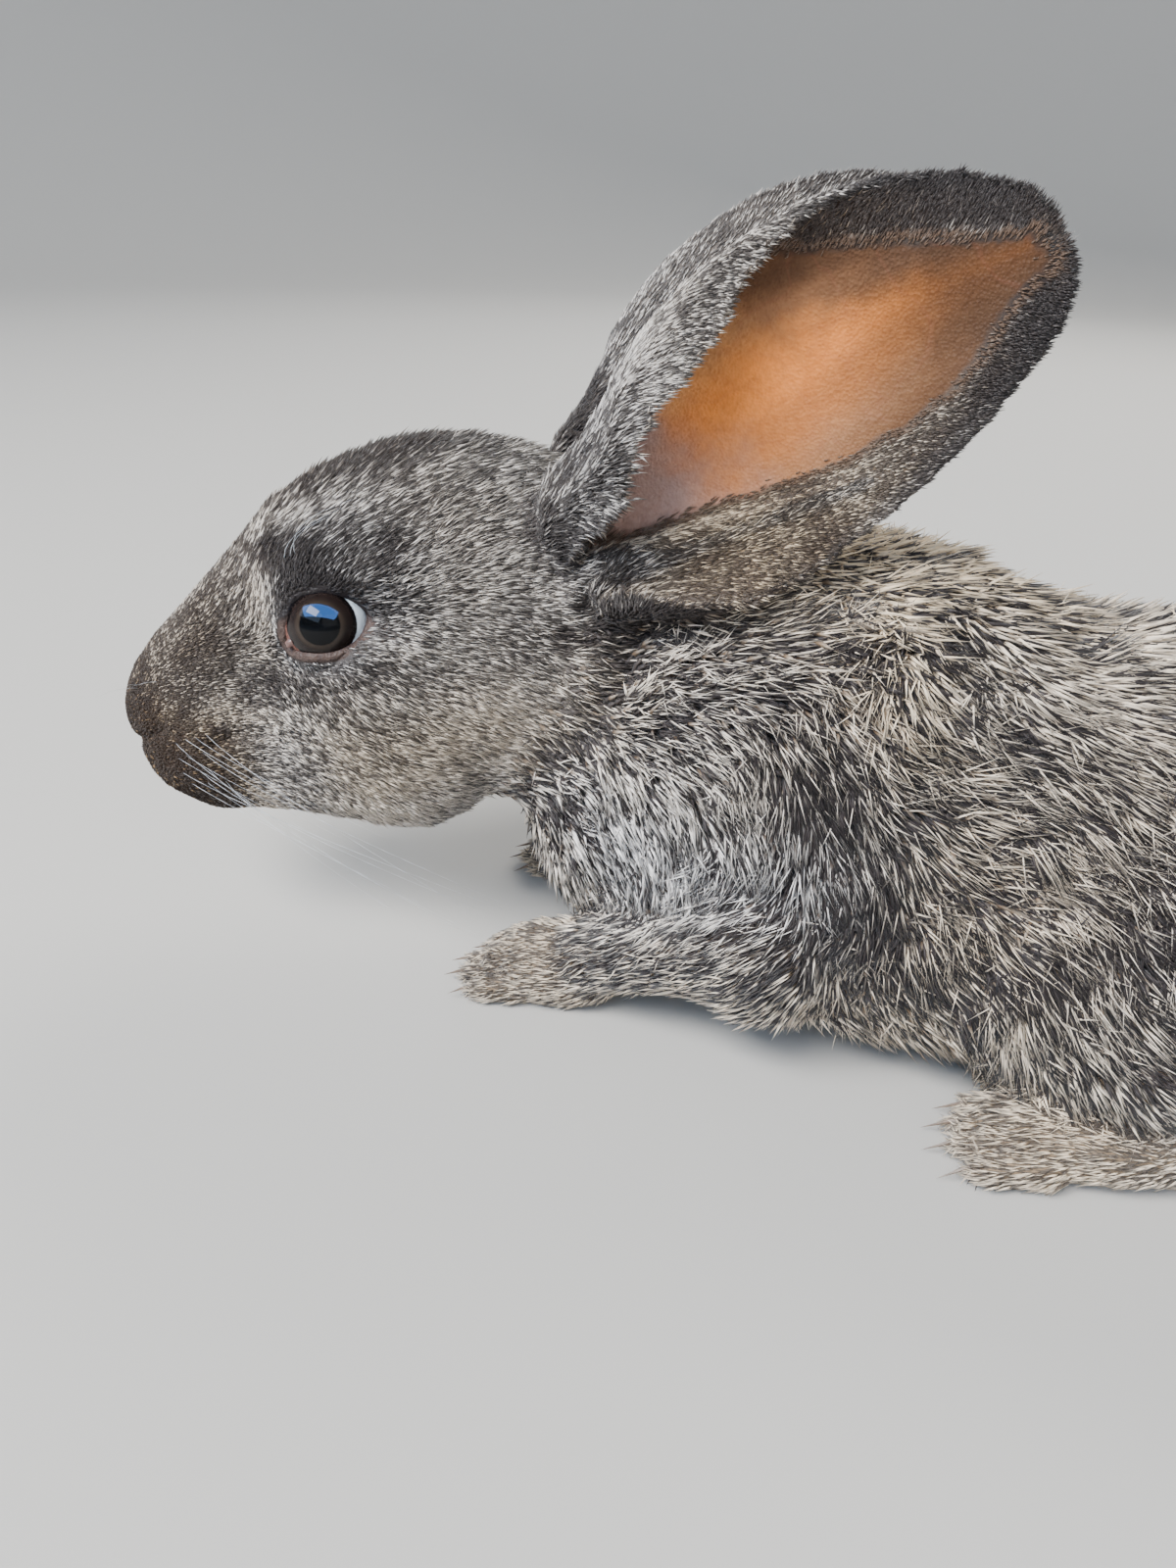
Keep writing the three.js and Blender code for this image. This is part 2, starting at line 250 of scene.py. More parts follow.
def nodeCentre(name):
    low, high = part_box(name)
    return (low + high) / 2


def headFrame():
    turn = (Matrix.Rotation(math.radians(head["turn"]), 4, "Z")
            @ Matrix.Rotation(math.radians(-head["pitch"]), 4, "Y"))
    middle = (nodeCentre("left_eye") + nodeCentre("right_eye")) / 2
    offset = turn @ Vector((head["eyeAt"][0], 0, head["eyeAt"][2])) * mm
    return Matrix.Translation(middle - offset) @ turn


headPlace = headFrame()
headInverse = headPlace.inverted()
eyeRadius = (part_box("left_eye")[1].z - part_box("left_eye")[0].z) / 2


def toHead(points):  # row frame in metres to head frame in mm
    turned = np.array(headInverse.to_3x3())
    return (points @ turned.T + np.array(headInverse.translation)) / mm


def fromHead(points):
    turned = np.array(headPlace.to_3x3())
    return (np.asarray(points, float) * mm) @ turned.T + np.array(headPlace.translation)


def headWay(vectors):  # a direction in the head frame to the row frame
    return np.asarray(vectors, float) @ np.array(headPlace.to_3x3()).T


# skin

skinMake = {
    "closeGap": 0.25,  # mm that each node swells, so that the cuts between them close
    "earSwell": 0.75,  # mm more for the ears, so that their rims survive
    "earRim": 0.45,  # mm that the ears' rims draw in again
    "lidBall": 0.9,  # mm that the lids stand out from the eyeball
    "voxel": 1.1,  # mm
    "bodyShare": 0.2,  # share of the body's triangles that is kept
    "bodyFrom": 40,  # mm behind the eyes where the body's coarser skin begins
    "muzzleEnd": -29,  # mm: in front of it the skin is finer again
}

coatByNode = {  # depth and length of the coat in mm, lift of its tips in degrees, then its tone and warmth
    "head": (1.5, 4.6, 14, -0.07, 0.3),
    "nose": (0.3, 1.3, 10, -0.6, 0.75),
    "lower_jaw": (1.4, 4.0, 14, 0.1, 0.4),
    "neck": (4.2, 9.0, 22, 0.1, 0.5),
    "chest": (5.2, 11.5, 24, 0.1, 0.65),
    "loin": (5.6, 12.5, 22, 0.05, 0.65),
    "rump": (5.8, 12.5, 22, 0.0, 0.6),
    "tail": (5.0, 10.0, 30, 0.1, 0.4),
    "ear": (0.4, 3.2, 8, -0.12, 0.3),
    "upper_arm": (4.2, 10.0, 22, 0.05, 0.6),
    "forearm": (2.4, 6.0, 16, 0.05, 0.6),
    "forepaw": (0.7, 3.6, 12, 0.15, 0.7),
    "thigh": (5.0, 11.0, 22, -0.15, 0.55),
    "shank": (2.8, 7.0, 16, 0.0, 0.6),
    "hind_foot": (0.9, 4.2, 12, 0.25, 0.75),
}
partNames = list(coatByNode)
coatTable = np.array([coatByNode[name] for name in partNames], float)


def partOf(nodeName):
    return nodeName.replace("left_", "").replace("right_", "")


fleshNodes = sorted(name for name in cadNodes if partOf(name) in coatByNode)


def onParts(parts, *names):  # which of these part numbers are the named parts
    return np.isin(parts, [partNames.index(name) for name in names])


earRollShape = {  # in the head frame for a left ear, mm
    "line": ((47, -20.5, -5), (55, -23, 1), (66, -26, 4), (78, -28.5, 6.5), (90, -31, 9.3), (101, -33, 12)),
    "radius": (5.6, 1.5),
    "balls": 26,
}


def smoothLine(points, count):  # a curve through the points, as many short steps
    points = np.array(points, float)
    ends = np.vstack([2 * points[0] - points[1], points, 2 * points[-1] - points[-2]])
    steps = np.linspace(0, len(points) - 1 - 1e-9, count)
    start = steps.astype(int)
    t = (steps - start)[:, None]
    a, b, c, d = (ends[start + offset] for offset in range(4))
    return 0.5 * (2 * b + (c - a) * t + (2 * a - 5 * b + 4 * c - d) * t ** 2 + (3 * b - a - 3 * c + d) * t ** 3)


def swollenNode(name):
    bm = bmesh.new()
    bm.from_mesh(cadNodes[name].data)
    bmesh.ops.remove_doubles(bm, verts=bm.verts, dist=1e-6)
    bm.normal_update()
    swell = skinMake["closeGap"] + (skinMake["earSwell"] if partOf(name) == "ear" else 0)
    for vert in bm.verts:
        vert.co += vert.normal * swell * mm
    return shapedPiece("flesh_" + name, bm)


def lidBall(side):
    bm = bmesh.new()
    bmesh.ops.create_uvsphere(bm, u_segments=32, v_segments=20, radius=eyeRadius + skinMake["lidBall"] * mm,
                              matrix=Matrix.Translation(nodeCentre(side + "_eye")))
    return shapedPiece("lid_ball", bm)


def voxelise(piece, name):
    remesh = piece.modifiers.new("voxels", "REMESH")
    remesh.mode = "VOXEL"
    remesh.voxel_size = skinMake["voxel"] * mm
    return bakeModifiers(piece, name)


def earRoll(side):  # the thick furred roll along the lower margin of an ear's base
    spots = smoothLine(earRollShape["line"], earRollShape["balls"])
    radii = np.linspace(*earRollShape["radius"], earRollShape["balls"])
    bm = bmesh.new()
    for spot, radius in zip(spots, radii):
        at = fromHead([spot[0], -sides[side] * spot[1], spot[2]])
        bmesh.ops.create_icosphere(bm, subdivisions=2, radius=radius * mm, matrix=Matrix.Translation(at))
    piece = shapedPiece("ear_roll", bm)
    voxelise(piece, "ear_roll")
    return piece


def fleshSource():  # every flesh node swollen a little, with a ball for the lids of each eye
    parts = [swollenNode(name) for name in fleshNodes]
    parts += [make(side) for side in sides for make in (lidBall, earRoll)]
    whole = parts[0]
    for part in parts[1:]:
        union = whole.modifiers.new("join", "BOOLEAN")
        union.operation = "UNION"
        union.solver = "MANIFOLD"
        union.object = part
    bakeModifiers(whole, "skin_source")
    for part in parts[1:]:
        bpy.data.objects.remove(part)
    return whole


def bakeModifiers(piece, name):
    graph = bpy.context.evaluated_depsgraph_get()
    mesh = bpy.data.meshes.new_from_object(piece.evaluated_get(graph))
    mesh.name = name
    old = piece.data
    piece.modifiers.clear()
    piece.data = mesh
    bpy.data.meshes.remove(old)
    return mesh


def nearestNodes(points):  # which flesh node's surface lies nearest to each point
    meshes = [cadNodes[name].data for name in fleshNodes]
    faces = [readTriangles(mesh) for mesh in meshes]
    bases = np.cumsum([0] + [len(mesh.vertices) for mesh in meshes])
    owner = np.repeat(np.arange(len(meshes)), [len(own) for own in faces])
    corners = np.concatenate([own + base for own, base in zip(faces, bases)])
    tree = BVHTree.FromPolygons(np.concatenate([readPoints(mesh) for mesh in meshes]).tolist(), corners.tolist())
    return owner[[tree.find_nearest(point)[2] for point in points.tolist()]]


def voxelSkin():
    piece = fleshSource()
    mesh = voxelise(piece, "skin")
    body = toHead(readPoints(mesh))[:, 0] > skinMake["bodyFrom"]
    fine = [i for i, n in enumerate(fleshNodes) if partOf(n) in ("ear", "forepaw", "hind_foot")]
    body &= ~np.isin(nearestNodes(readPoints(mesh)), fine)
    group = piece.vertex_groups.new(name="body")
    group.add(np.nonzero(body)[0].tolist(), 1.0, "REPLACE")
    faceShare = np.mean(body[readTriangles(mesh)[:, 0]])
    thin = piece.modifiers.new("thin", "DECIMATE")
    thin.vertex_group = "body"
    thin.vertex_group_factor = 10
    thin.ratio = 1 - faceShare * (1 - skinMake["bodyShare"])
    bakeModifiers(piece, "skin")
    piece.name = "skin"
    return piece


earShape = {  # the ear as a curled sheet, in the head frame for a left ear, mm
    "spine": ((42, -13, -7), (51, -18, 2), (73, -22, 10.5), (95, -25, 24), (114, -29, 35.5), (136, -35, 45)),
    "width": 54,
    "tilt": (30, 12),  # degrees that the hollow faces upwards, at the base and the tip
    "curlFront": (180, 146, 60),  # degrees from the middle of the back to the margin: base, middle, tip
    "curlRear": (135, 60),
    "length": 112,
    "fold": ((0, 0.3), (0.08, 0.15), (0.17, 0.04), (0.25, 0.0), (0.32, -0.03), (0.39, -0.16), (0.46, -0.29),
             (0.53, -0.45), (0.62, -0.55), (0.75, -0.68), (0.9, -0.75), (1, -0.8)),  # along, across
}


def measureEars(points, normals, isEar):  # along 0 to 1, across -1 (lower margin) to 1, and others
    local = toHead(points)
    facing = normals @ np.array(headPlace.to_3x3())
    flip = np.where(local[:, 1] > 0, -1.0, 1.0)  # a right ear is measured mirrored
    local[:, 1] *= flip
    facing[:, 1] *= flip
    line = smoothLine(earShape["spine"], 120)
    steps = np.linalg.norm(np.diff(line, axis=0), axis=1)
    reach = np.concatenate([[0], np.cumsum(steps)]) / np.sum(steps)
    tangents = unit(np.gradient(line, axis=0))
    along, across, inside, turn = np.zeros((4, len(points)))  # turn is 1 at 180 degrees from the back's middle
    edge = np.full(len(points), 30.0)  # mm to the nearest margin
    way = np.zeros((len(points), 3))
    picked = np.nonzero(isEar)[0]
    gaps = np.linalg.norm(local[picked, None, :] - line[None, :, :], axis=2)
    best = np.argmin(gaps, axis=1)
    share = reach[best]
    tilt = np.radians(blendTo(*earShape["tilt"], share))
    forward = tangents[best]
    outward = np.stack([np.zeros(len(best)), -np.cos(tilt), np.sin(tilt)], axis=1)
    outward = unit(outward - forward * dot(outward, forward)[:, None])
    frontward = np.cross(outward, forward)
    depth = 3.5 + 8 * smoothStep(0.1, 0.34, share) - 5 * smoothStep(0.36, 0.9, share)
    width = earShape["width"] / 2 * (0.5 + 0.5 * smoothStep(0.08, 0.55, share))
    narrow = np.sqrt(np.clip(1 - np.clip(share - 0.5, 0, 0.5) ** 2.3 / 0.5 ** 2.3, 0.04, 1))
    width, depth = width * narrow, depth * narrow
    offset = local[picked] - line[best]
    sideways = dot(offset, frontward) / width
    outwards = (dot(offset, outward) - depth) / depth
    angle = np.degrees(np.arctan2(sideways, -outwards))
    angle = np.where((angle < -158) & (share < 0.6), angle + 360, angle)  # past the top of the curl
    base, middle, tip = earShape["curlFront"]
    frontEnd = blendTo(blendTo(base, middle, smoothStep(0.24, 0.4, share)), tip, smoothStep(0.45, 1, share))
    rearEnd = blendTo(*earShape["curlRear"], smoothStep(0.14, 0.5, share))
    along[picked] = share
    ends = np.where(angle > 0, frontEnd, rearEnd)
    across[picked] = angle / ends
    turn[picked] = angle / 180
    bow = np.radians(angle)[:, None]
    toMargin = frontward * width[:, None] * np.cos(bow) + outward * depth[:, None] * np.sin(bow)
    gap = np.radians(np.clip(ends - np.abs(angle), 0, None)) * np.linalg.norm(toMargin, axis=1)
    edge[picked] = np.minimum(gap, (1 - share) * earShape["length"])
    centre = line[best] + outward * depth[:, None]
    inside[picked] = dot(facing[picked], unit(centre - local[picked]))
    aside = 0.1 + 0.6 * bell(edge[picked], 4) + 0.35 * (inside[picked] > 0)
    forward = forward + unit(toMargin) * (np.sign(angle) * aside)[:, None]
    forward[:, 1] *= flip[picked]
    way[picked] = headWay(forward)
    past = across - np.interp(along, *np.array(earShape["fold"]).T)  # above 0 on the bare side of the fold
    return along, across, inside, turn, edge, past, way


coatLie = {  # the way that the hair points, in the row frame
    "neck": (1, 0, -0.35),
    "chest": (0.9, 0, -0.75),
    "loin": (1, 0, -0.6),
    "rump": (0.9, 0, -0.7),
    "tail": (0.55, 0, 0.6),
    "upper_arm": (0.35, 0, -1),
    "forearm": (-0.9, 0, -0.6),
    "forepaw": (-1, 0, -0.15),
    "thigh": (0.65, 0, -0.9),
    "shank": (0.9, 0, -0.3),
    "hind_foot": (-1, 0, -0.12),
}

ridge = ((9.5, -12, 99.6), (10.6, -26, 92.4), (10.5, -34.6, 84.7), (11, -40, 75))  # along the shoulder, mm
hollow = ((-2, -20, 98), (0, -30, 93), (2.6, -35, 87.6), (3.5, -41, 78), (1, -44.5, 67))  # in front of the ridge
throat = ((59, -27, -8), (53, -31, -18), (46, -32, -27), (37, -29, -37), (28, -22, -46))  # head frame, mm

bodyWhorls = {  # row frame, mm, left side: the way that the hair turns, how far round, and along which line
    "ridge": ((-3.2, -0.3, 0.3), 4.5, ridge[:3]),
    "band": ((1.0, 0, 0.8), 9, ((13, -42, 66), (24, -42, 66))),
    "neck": ((0.5, 0, 0.5), 10, ((-40, -29, 76), (-16, -32, 92))),
    "low chest": ((-0.7, 0, -0.5), 12, ((-30, -40, 40), (0, -44, 42))),
}


def headLie(local):  # the way that the hair points on the head, in the head frame
    away = local - np.array([-52, 0, -22])
    way = unit(away) * 0.5 + np.array([1.0, 0, 0])
    way[:, 2] += blendTo(-0.75, 0.25, smoothStep(-12, 10, local[:, 2])) * smoothStep(-30, 5, local[:, 0])
    eye = np.array([head["eyeAt"][0], 0, head["eyeAt"][2]])
    fromEye = local - eye
    fromEye[:, 1] = 0
    near = bell(np.linalg.norm(fromEye, axis=1) - 11, 7)[:, None]
    front = smoothStep(6, -8, fromEye[:, 0])[:, None]
    above = smoothStep(-4, 4, fromEye[:, 2])[:, None]
    return way + unit(fromEye) * near * 0.8 + np.array([0, 0, 1.6]) * near * front * above


def clawGap(points):  # mm to the root of the nearest claw
    boxes = [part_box(name) for name in cadNodes if "_claw_" in name]
    roots = [(high.x, (low.y + high.y) / 2, high.z - 1.2 * mm) for low, high in boxes]
    return np.min([gapTo(points, root) for root in roots], axis=0)


toes = {  # mm: the grooves between a paw's toes
    "deep": 1.4,
    "wide": 1.2,
    "top": 16,  # height above the floor where they end
}


def toeGroove(points):  # 1 in the gaps between a paw's toes
    groove = np.zeros(len(points))
    for side in sides:
        for paw in ("forepaw", "hind_foot"):
            tips = [nodeCentre(f"{side}_{paw}_claw_{number}") for number in (1, 2, 3, 4)]
            for one, other in zip(tips, tips[1:]):
                middle = (one + other) / 2
                reach = (points[:, 0] - middle.x) / mm
                fade = smoothStep(-4, 1, reach) * smoothStep(19, 9, reach)
                groove = np.maximum(groove, bell((points[:, 1] - middle.y) / mm, toes["wide"]) * fade)
    return groove


def buildFields(mesh):
    points = readPoints(mesh)
    triangles = readTriangles(mesh)
    edges = readEdges(mesh)
    normals = pointNormals(points, triangles)
    owner = nearestNodes(points)
    parts = np.array([partNames.index(partOf(name)) for name in fleshNodes])[owner]
    depth, length, lift = coatTable[parts, :3].T
    local = toHead(points)

    isEar = onParts(parts, "ear")
    isHead = onParts(parts, "head", "nose", "lower_jaw")
    headShare = spreadOut(isHead.astype(float), edges, 30)
    earShare = spreadOut(isEar.astype(float), edges, 3)

    muzzle = isHead * (1 - smoothStep(-38, -8, local[:, 0]))
    length = length * blendTo(1, 0.42, muzzle)
    depth = depth * blendTo(1, 0.55, muzzle)
    eyeGap = np.min([gapTo(points, nodeCentre(side + "_eye")) for side in sides], axis=0)
    byEye = 1 - smoothStep(eyeRadius / mm + 0.5, eyeRadius / mm + 9, eyeGap)
    length = length * blendTo(1, 0.4, byEye)
    depth = depth * blendTo(1, 0.3, byEye)
    crown = bell(gapToLine(local, ((0, 0, 24), (36, 0, 27))), 11) * isHead
    onTop = smoothStep(0.3, 0.9, normals[:, 2]) * onParts(parts, "loin", "rump")
    length = length * (1 + 0.35 * crown + 0.15 * onTop)
    lift = lift + 12 * crown + 5 * onTop
    length = length * (1 - 0.5 * bell(slitGap(local), 2.5) * isHead)
    byClaw = bell(clawGap(points), 4)
    length = length + 1.8 * byClaw
    depth = depth * (1 - 0.8 * byClaw)

    lie = np.zeros_like(points)
    for name, way in coatLie.items():
        lie[onParts(parts, name)] = way
    lie[isHead] = headWay(headLie(local[isHead]))
    along, across, inside, turn, edge, past, earWay = measureEars(points, normals, isEar)
    earHair = blendTo(5.0, 2.5, smoothStep(0.12, 0.6, along)) * np.where(inside > 0.2, 0.8, 1)
    length = np.where(isEar, earHair, length)
    lie[isEar] = earWay[isEar]
    lie = unit(lie)
    whole = leftSide(points / mm)
    for turned, wide, line in bodyWhorls.values():
        lie = lie + np.array(turned) * (bell(gapToLine(whole, line), wide) * ~isHead * ~isEar)[:, None]
    lie = spreadOut(unit(lie), edges, 12)

    fields = {
        "depth": spreadOut(depth, edges, 25), "length": spreadOut(length, edges, 12),
        "lift": spreadOut(lift, edges, 12), "headShare": headShare, "earShare": earShare, "earAlong": along,
        "earAcross": across, "earInside": inside, "earTurn": turn, "earEdge": edge, "earFold": past,
        "part": parts.astype(float), "lie": lie,
    }
    for name, values in fields.items():
        storeField(mesh, name, values)
    return fields


def relax(points, edges, rounds, weight):  # smooths without shrinking: a step in, then a longer step out
    for _ in range(rounds):
        for push in (0.5, -0.52):
            points = points + (spreadOut(points, edges, 1) - points) * (weight * push)[:, None]
    return points


def shrinkSkin(mesh):  # sets the skin inside the solids' outline by the coat's depth
    fields = buildFields(mesh)
    points = readPoints(mesh)
    edges = readEdges(mesh)
    triangles = readTriangles(mesh)
    isEar = fields["earShare"]
    paws = onParts(fields["part"], "forepaw", "hind_foot")
    weight = np.where(paws, 0.25, 0.75 + 0.25 * (1 - fields["headShare"]))
    weight = np.maximum(weight, 0.8 * isEar)
    points = spreadOut(points, edges, 1, 0.5)
    points = relax(points, edges, 16, spreadOut(weight, edges, 4))
    normals = pointNormals(points, triangles)
    flatness = np.linalg.norm(spreadOut(normals, edges, 4), axis=1)
    rim = (1 - smoothStep(0.7, 0.95, flatness)) * isEar
    frontRim = smoothStep(0.76, 0.88, fields["earAcross"]) * smoothStep(0.85, 0.7, fields["earAlong"])
    rim = np.maximum(rim, 0.85 * frontRim * isEar)
    inward = fields["depth"] + skinMake["closeGap"] + skinMake["earSwell"] * isEar
    inward = blendTo(inward, skinMake["earRim"], spreadOut(rim, edges, 2))
    points = points - unit(spreadOut(normals, edges, 2)) * (inward * mm)[:, None]
    movePoints(mesh, relax(points, edges, 8, spreadOut(weight, edges, 4)))


# folds of the face and body, cut as grooves along lines on the skin

folds = {  # head frame, mm, for the left side: depth and width of each fold, then its line
    "nostril": (3.0, 1.25, ((-53, -1.8, -26.5), (-51, -5.5, -24.5), (-48.5, -9.5, -21.5))),
    "nostril wing": (1.3, 1.3, ((-50, -7.5, -23.5), (-46.5, -13.5, -21), (-42, -16, -19))),
    "philtrum": (1.9, 1.1, ((-53, 0, -25), (-50, 0, -31), (-46, 0, -37))),
    "mouth": (1.5, 1.0, ((-47, 0, -37), (-44, -7.5, -36.5), (-38, -12.5, -35), (-31, -16, -32))),
    "cheek": (1.5, 1.6, ((-32, -17.5, -23.5), (-26, -18.8, -22), (-19, -20.3, -22))),
    "lid corner": (0.8, 1.3, ((8, -25, 2.4), (13, -26.4, 1.2), (23, -27, -0.5))),
    "throat": (2.6, 4.0, throat),
}

bulges = {  # head frame, mm: height and width, then the middle, on both sides
    "whisker pad": (1.4, 7.5, (-39, -15, -28)),
    "upper lip": (1.1, 4.5, (-48.5, -6.5, -31)),
    "nose lobe": (0.9, 5.5, (-51, -4, -19)),
    "chin": (0.7, 6, (-38, -6, -42)),
    "brow": (0.9, 6, (-1, -22, 11)),
}

bodyFolds = {  # row frame, mm, for the left side
    "shoulder hollow": (2.6, 4.0, hollow),
    "shoulder ridge": (-2.2, 4.0, ridge),
    "behind ridge": (1.8, 4.5, ((16.5, -14, 98), (18, -23, 92), (22, -31, 84))),
    "flank break": (1.6, 4.0, ((17, -43, 60), (24, -41, 65))),
    "flank hollow": (1.6, 8, ((34, -44, 50), (30, -50, 36), (24, -50, 26))),
}


def gapToLine(points, line):  # distance from each point to the nearest part of a line
    line = np.array(line, float)
    best = np.full(len(points), np.inf)
    for start, end in zip(line, line[1:]):
        way = end - start
        share = np.clip((points - start) @ way / (way @ way), 0, 1)
        best = np.minimum(best, np.linalg.norm(points - start - share[:, None] * way, axis=1))
    return best


def slitGap(local):  # mm to the nearest of the nostrils, the cleft of the lip and the mouth
    local = leftSide(local)
    return np.min([gapToLine(local, folds[name][2]) for name in ("nostril", "philtrum", "mouth")], axis=0)


def foldSkin(mesh):
    points = readPoints(mesh)
    normals = pointNormals(points, readTriangles(mesh))
    local = leftSide(toHead(points))
    whole = leftSide(points / mm)
    faceOnly = smoothStep(0.2, 0.6, readField(mesh, "headShare"))
    notEar = 1 - smoothStep(0.05, 0.3, readField(mesh, "earShare"))
    slit = bell(gapToLine(local, folds["nostril"][2]), 1.5) * faceOnly
    cleft = bell(slitGap(local), 1.0) * faceOnly
    # the nostrils, the lip's cleft and the mouth, later painted dark as shade
    storeField(mesh, "slit", np.maximum(slit, 0.75 * cleft))
    inward = np.zeros(len(points))
    for name, (deep, wide, line) in folds.items():
        own = notEar if name == "throat" else faceOnly
        inward += deep * bell(gapToLine(local, line), wide) * own
    for high, wide, middle in bulges.values():
        inward -= high * bell(np.linalg.norm(local - np.array(middle), axis=1), wide) * faceOnly
    for deep, wide, line in bodyFolds.values():
        inward += deep * bell(gapToLine(whole, line), wide) * notEar
    inward += toes["deep"] * toeGroove(points) * (whole[:, 2] < toes["top"])
    movePoints(mesh, points - normals * (inward * mm)[:, None])


# lids

lids = {  # for a left eye, head frame
    "out": (0.285, -0.914, 0.287),
    "rear": (0.944, 0.217, -0.248),
    "up": (0.165, 0.342, 0.925),
    "outline": ((-7.7, -0.6), (-5.6, 4.0), (-0.8, 5.6), (3.9, 4.6), (7.6, 1.7),
                (6.5, -2.2), (3.4, -4.7), (-0.7, -5.7), (-5.0, -5.5), (-7.2, -4.2)),  # mm, rear and up
    "rest": 0.12,  # mm between the margin and the eyeball
    "thick": 1.0,
    "roll": 0.8,  # mm over which the margin rounds out to its thickness
    "blend": (1.6, 6.0),  # mm from the margin over which the lid runs into the face
    "crease": (0.55, 0.7, 2.6),  # depth, width and place of the fold in the upper lid
    "fine": 10.5,  # mm round the eye where the skin is finest
    "wide": 16.5,
    "cut": 0.2,  # mm outside the margin up to which the skin is cut away
    "turnIn": 0.9,  # mm that the cut edge turns in behind the eyeball's surface
}


def eyeAxes(side):
    flip = np.array([1, 1 if side == "left" else -1, 1])
    axes = [headWay(np.array(lids[name]) * flip) for name in ("rear", "up", "out")]
    return np.array(nodeCentre(side + "_eye")), np.array(axes)


def lidReach(angle):  # how far the margin lies from the middle of the opening, in that direction
    ring = np.array(lids["outline"] + lids["outline"][:1])
    ring = smoothLine(ring, 200)[:-1]
    turns = np.arctan2(ring[:, 1], ring[:, 0])
    order = np.argsort(turns)
    return np.interp(angle, turns[order], np.linalg.norm(ring, axis=1)[order], period=math.tau)


def lidMargin(side):  # the closed line of the lids' margin, on the eyeball
    centre, axes = eyeAxes(side)
    turns = np.linspace(0, math.tau, 97)
    reach = lidReach(turns) * mm / eyeRadius
    way = np.column_stack([np.cos(turns) * reach, np.sin(turns) * reach, np.sqrt(1 - reach ** 2)])
    return centre + (way * (eyeRadius + lids["rest"] * mm)) @ axes


def lidPlace(points, side):  # distance outside the margin, distance from the eyeball's middle, and axes
    centre, axes = eyeAxes(side)
    offset = (points - centre) / mm
    radius = np.linalg.norm(offset, axis=1)
    turned = unit(offset) @ axes.T
    past = np.full(len(points), 99.0)
    near = np.nonzero(radius < lids["wide"] + 4)[0]
    flat = turned[near, :2] * eyeRadius / mm
    inside = np.linalg.norm(flat, axis=1) < lidReach(np.arctan2(flat[:, 1], flat[:, 0]))
    inside &= turned[near, 2] > 0
    gap = gapToLine(points[near], lidMargin(side)) / mm
    past[near] = np.where(inside, -gap, gap)
    return past, radius, turned


def refineFace(piece):  # finer skin round the eyes, and over the muzzle
    bm = bmesh.new()
    bm.from_mesh(piece.data)
    eyes = [nodeCentre(side + "_eye") for side in sides]

    def near(edge, reach):
        middle = (edge.verts[0].co + edge.verts[1].co) / 2
        return any((middle - eye).length < reach * mm for eye in eyes)

    def onMuzzle(edge):
        return (headInverse @ edge.verts[0].co).x < skinMake["muzzleEnd"] * mm

    first = [edge for edge in bm.edges if near(edge, lids["wide"]) or onMuzzle(edge)]
    bmesh.ops.subdivide_edges(bm, edges=first, cuts=1, use_grid_fill=True)
    second = [edge for edge in bm.edges if near(edge, lids["fine"])]
    bmesh.ops.subdivide_edges(bm, edges=second, cuts=1, use_grid_fill=True)
    bmesh.ops.triangulate(bm, faces=[face for face in bm.faces if len(face.verts) > 4])
    bm.to_mesh(piece.data)
    bm.free()


def shapeLids(mesh):
    points = readPoints(mesh)
    edges = readEdges(mesh)
    near = np.zeros(len(points))
    for side in sides:
        gap = gapTo(points, nodeCentre(side + "_eye"))
        near = np.maximum(near, 1 - smoothStep(lids["fine"], lids["wide"], gap))
    points = relax(points, edges, 10, near)
    ball = eyeRadius / mm
    for side in sides:
        centre = eyeAxes(side)[0]
        past, radius, turned = lidPlace(points, side)
        rolled = lids["thick"] * np.sqrt(np.clip(past / lids["roll"], 0, 1))
        deep, wide, place = lids["crease"]
        crease = deep * bell(past - place, wide) * smoothStep(-1, 3, turned[:, 1] * ball)
        target = ball + lids["rest"] + rolled - crease
        share = (1 - smoothStep(*lids["blend"], past)) * (1 - smoothStep(12, lids["wide"], radius))
        moved = blendTo(radius, target, share)
        points = np.where((share > 0)[:, None], centre + (unit(points - centre)) * (moved * mm)[:, None], points)
    movePoints(mesh, points)


